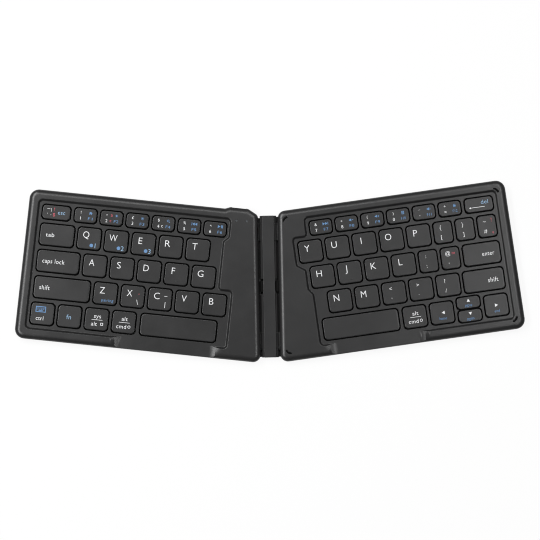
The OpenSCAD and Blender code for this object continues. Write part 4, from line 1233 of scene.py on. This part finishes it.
class KEYBOARD_OT_caps(bpy.types.Operator):
    """Builds the caps of every key, with the homing bars on two of them"""
    bl_idname = "keyboard.caps"
    bl_label = "Key caps"

    def execute(self, context):
        caps = context.scene.keyboard_caps
        plastic = moulded_plastic("cap_plastic", caps.plastic, 0.33, worn=0.35, wear_attribute="wear")
        for node in KEY_NODES:
            build_caps(node, caps, plastic)
        for node, (index, u) in HOMING_KEYS.items():
            self.homing_bar(node, index, u, caps, plastic)
        return {"FINISHED"}

    def homing_bar(self, node, index, u, caps, material):
        """A low rounded bar near the front of a cap, with its foot sunk into the cap's top."""
        side = side_of(node)
        x, y, _, _ = caps_of(node)[index]
        corners = rectangle(caps.homing_w, 0.5, 0.24)
        rings = [contour(corners, CAP_TOP - HOMING_SUNK, 0, 4),
                 *[contour(corners, CAP_TOP + rise / 2, inset, 4) for inset, rise in quarter(0.2, 4)]]
        rings = np.array(rings) + [x + side * u, y + HOMING_V, 0]
        bump = loft(node.replace("_letter_keys", "_homing_bar"), rings, side)
        keep_wear(bump.data, 0.6)
        dress(bump, [material], node, "keycap")


class KEYBOARD_OT_legends(bpy.types.Operator):
    """Prints the legends on the caps"""
    bl_idname = "keyboard.legends"
    bl_label = "Legends"

    def execute(self, context):
        caps, legend = context.scene.keyboard_caps, context.scene.keyboard_legends
        inks = [printed_ink(f"{ink}_ink", getattr(legend, ink)) for ink in INKS]
        for node in KEY_NODES:
            build_marks(node, caps, legend, inks)
        return {"FINISHED"}


def eased(node, stem):
    """What gives way under a key, pressed down a little so that it stays under the top of a pressed cap.

    Heights above the membrane are scaled so that the highest comes to just under a pressed cap's top.
    """
    mesh = frame["nodes"][node].data
    points = points_of(mesh)
    above, highest = np.maximum(points[:, 2] - MEMBRANE_TOP, 0), CAP_TOP - KEY_TRAVEL - 0.1
    points[:, 2] -= above * (1 - (highest - MEMBRANE_TOP) / above.max())
    piece = new_object(f"{node.split('_')[0]}_eased_{stem}", points, faces_of(mesh))
    set_faces(piece.data, "use_smooth", False)
    return piece


class KEYBOARD_OT_fittings(bpy.types.Operator):
    """Finishes the corner strips, the charge socket, the lights and what lies inside"""
    bl_idname = "keyboard.fittings"
    bl_label = "Fittings"

    def execute(self, context):
        case = context.scene.keyboard_case
        rubber = soft_rubber("strip_rubber", (0.002, 0.002, 0.002))
        strips = [crescent("strip", case, k, 0.0, RIM_TOP + 0.1) for k in range(4)]
        dress(joined("corner_strips", strips), [rubber], "right_half", "rubber", "corner_bumpers")
        recoat(["charge_port"], drawn_metal("socket_steel", (0.55, 0.55, 0.56), 0.28))
        recoat(["indicator_lights"], thin_film("light_pipe", (0.07, 0.075, 0.08), 0.25))
        # The plate and the membrane are near black as painted shade, so that the gaps round the caps stay
        # dark
        for stem, material in (
                ("support_plate", drawn_metal("plate_steel", (0.03, 0.03, 0.032), 0.5)),
                ("magnets", drawn_metal("magnet_nickel", (0.5, 0.5, 0.5), 0.25)),
                ("membrane", thin_film("membrane_film", (0.008, 0.009, 0.008)))):
            recoat([f"{half}_{stem}" for half in SIDES], material)
        # Painted shade: the domes and the scissor links are near black so that the gaps round the caps stay
        # dark
        painted_shade_dark = (0.006, 0.006, 0.006)
        for stem, slot, material in (
                ("dome_sheet", "silicone", soft_rubber("dome_silicone", painted_shade_dark)),
                ("scissor_links", "link_plastic", moulded_plastic("link_plastic", painted_shade_dark, 0.6))):
            for half in SIDES:
                node = f"{half}_{stem}"
                dress(eased(node, stem), [material], f"{half}_half", slot, node)
        recoat(["main_board", "junction_board"], solder_mask("board_mask", (0.010, 0.055, 0.020)))
        recoat(["battery"], thin_film("battery_foil", (0.45, 0.46, 0.48), 0.3))
        return {"FINISHED"}


OPERATORS = (KEYBOARD_OT_stage, KEYBOARD_OT_top_cases, KEYBOARD_OT_underside, KEYBOARD_OT_hinge,
             KEYBOARD_OT_caps, KEYBOARD_OT_legends, KEYBOARD_OT_fittings)
SETTINGS = {"keyboard_case": CaseSettings, "keyboard_caps": CapSettings, "keyboard_legends": LegendSettings,
            "keyboard_stage": StageSettings}


class KEYBOARD_PT_pieces(bpy.types.Panel):
    """Lists the keyboard's operators and settings"""
    bl_label = "Keyboard"
    bl_idname = "KEYBOARD_PT_pieces"
    bl_space_type = "VIEW_3D"
    bl_region_type = "UI"
    bl_category = "Keyboard"

    def draw(self, context):
        for operator in OPERATORS:
            self.layout.operator(operator.bl_idname)
        for name, group in SETTINGS.items():
            column = self.layout.column(heading=group.__name__)
            for key in group.__annotations__:
                column.prop(getattr(context.scene, name), key)


def register():
    for kind in (*SETTINGS.values(), *OPERATORS, KEYBOARD_PT_pieces):
        bpy.utils.register_class(kind)
    for name, group in SETTINGS.items():
        setattr(bpy.types.Scene, name, PointerProperty(type=group))


def unregister():
    for name in SETTINGS:
        delattr(bpy.types.Scene, name)
    for kind in reversed((*SETTINGS.values(), *OPERATORS, KEYBOARD_PT_pieces)):
        bpy.utils.unregister_class(kind)


def main():
    register()
    for operator in OPERATORS:
        group, name = operator.bl_idname.split(".")
        getattr(getattr(bpy.ops, group), name)()


if __name__ == "__main__":
    main()
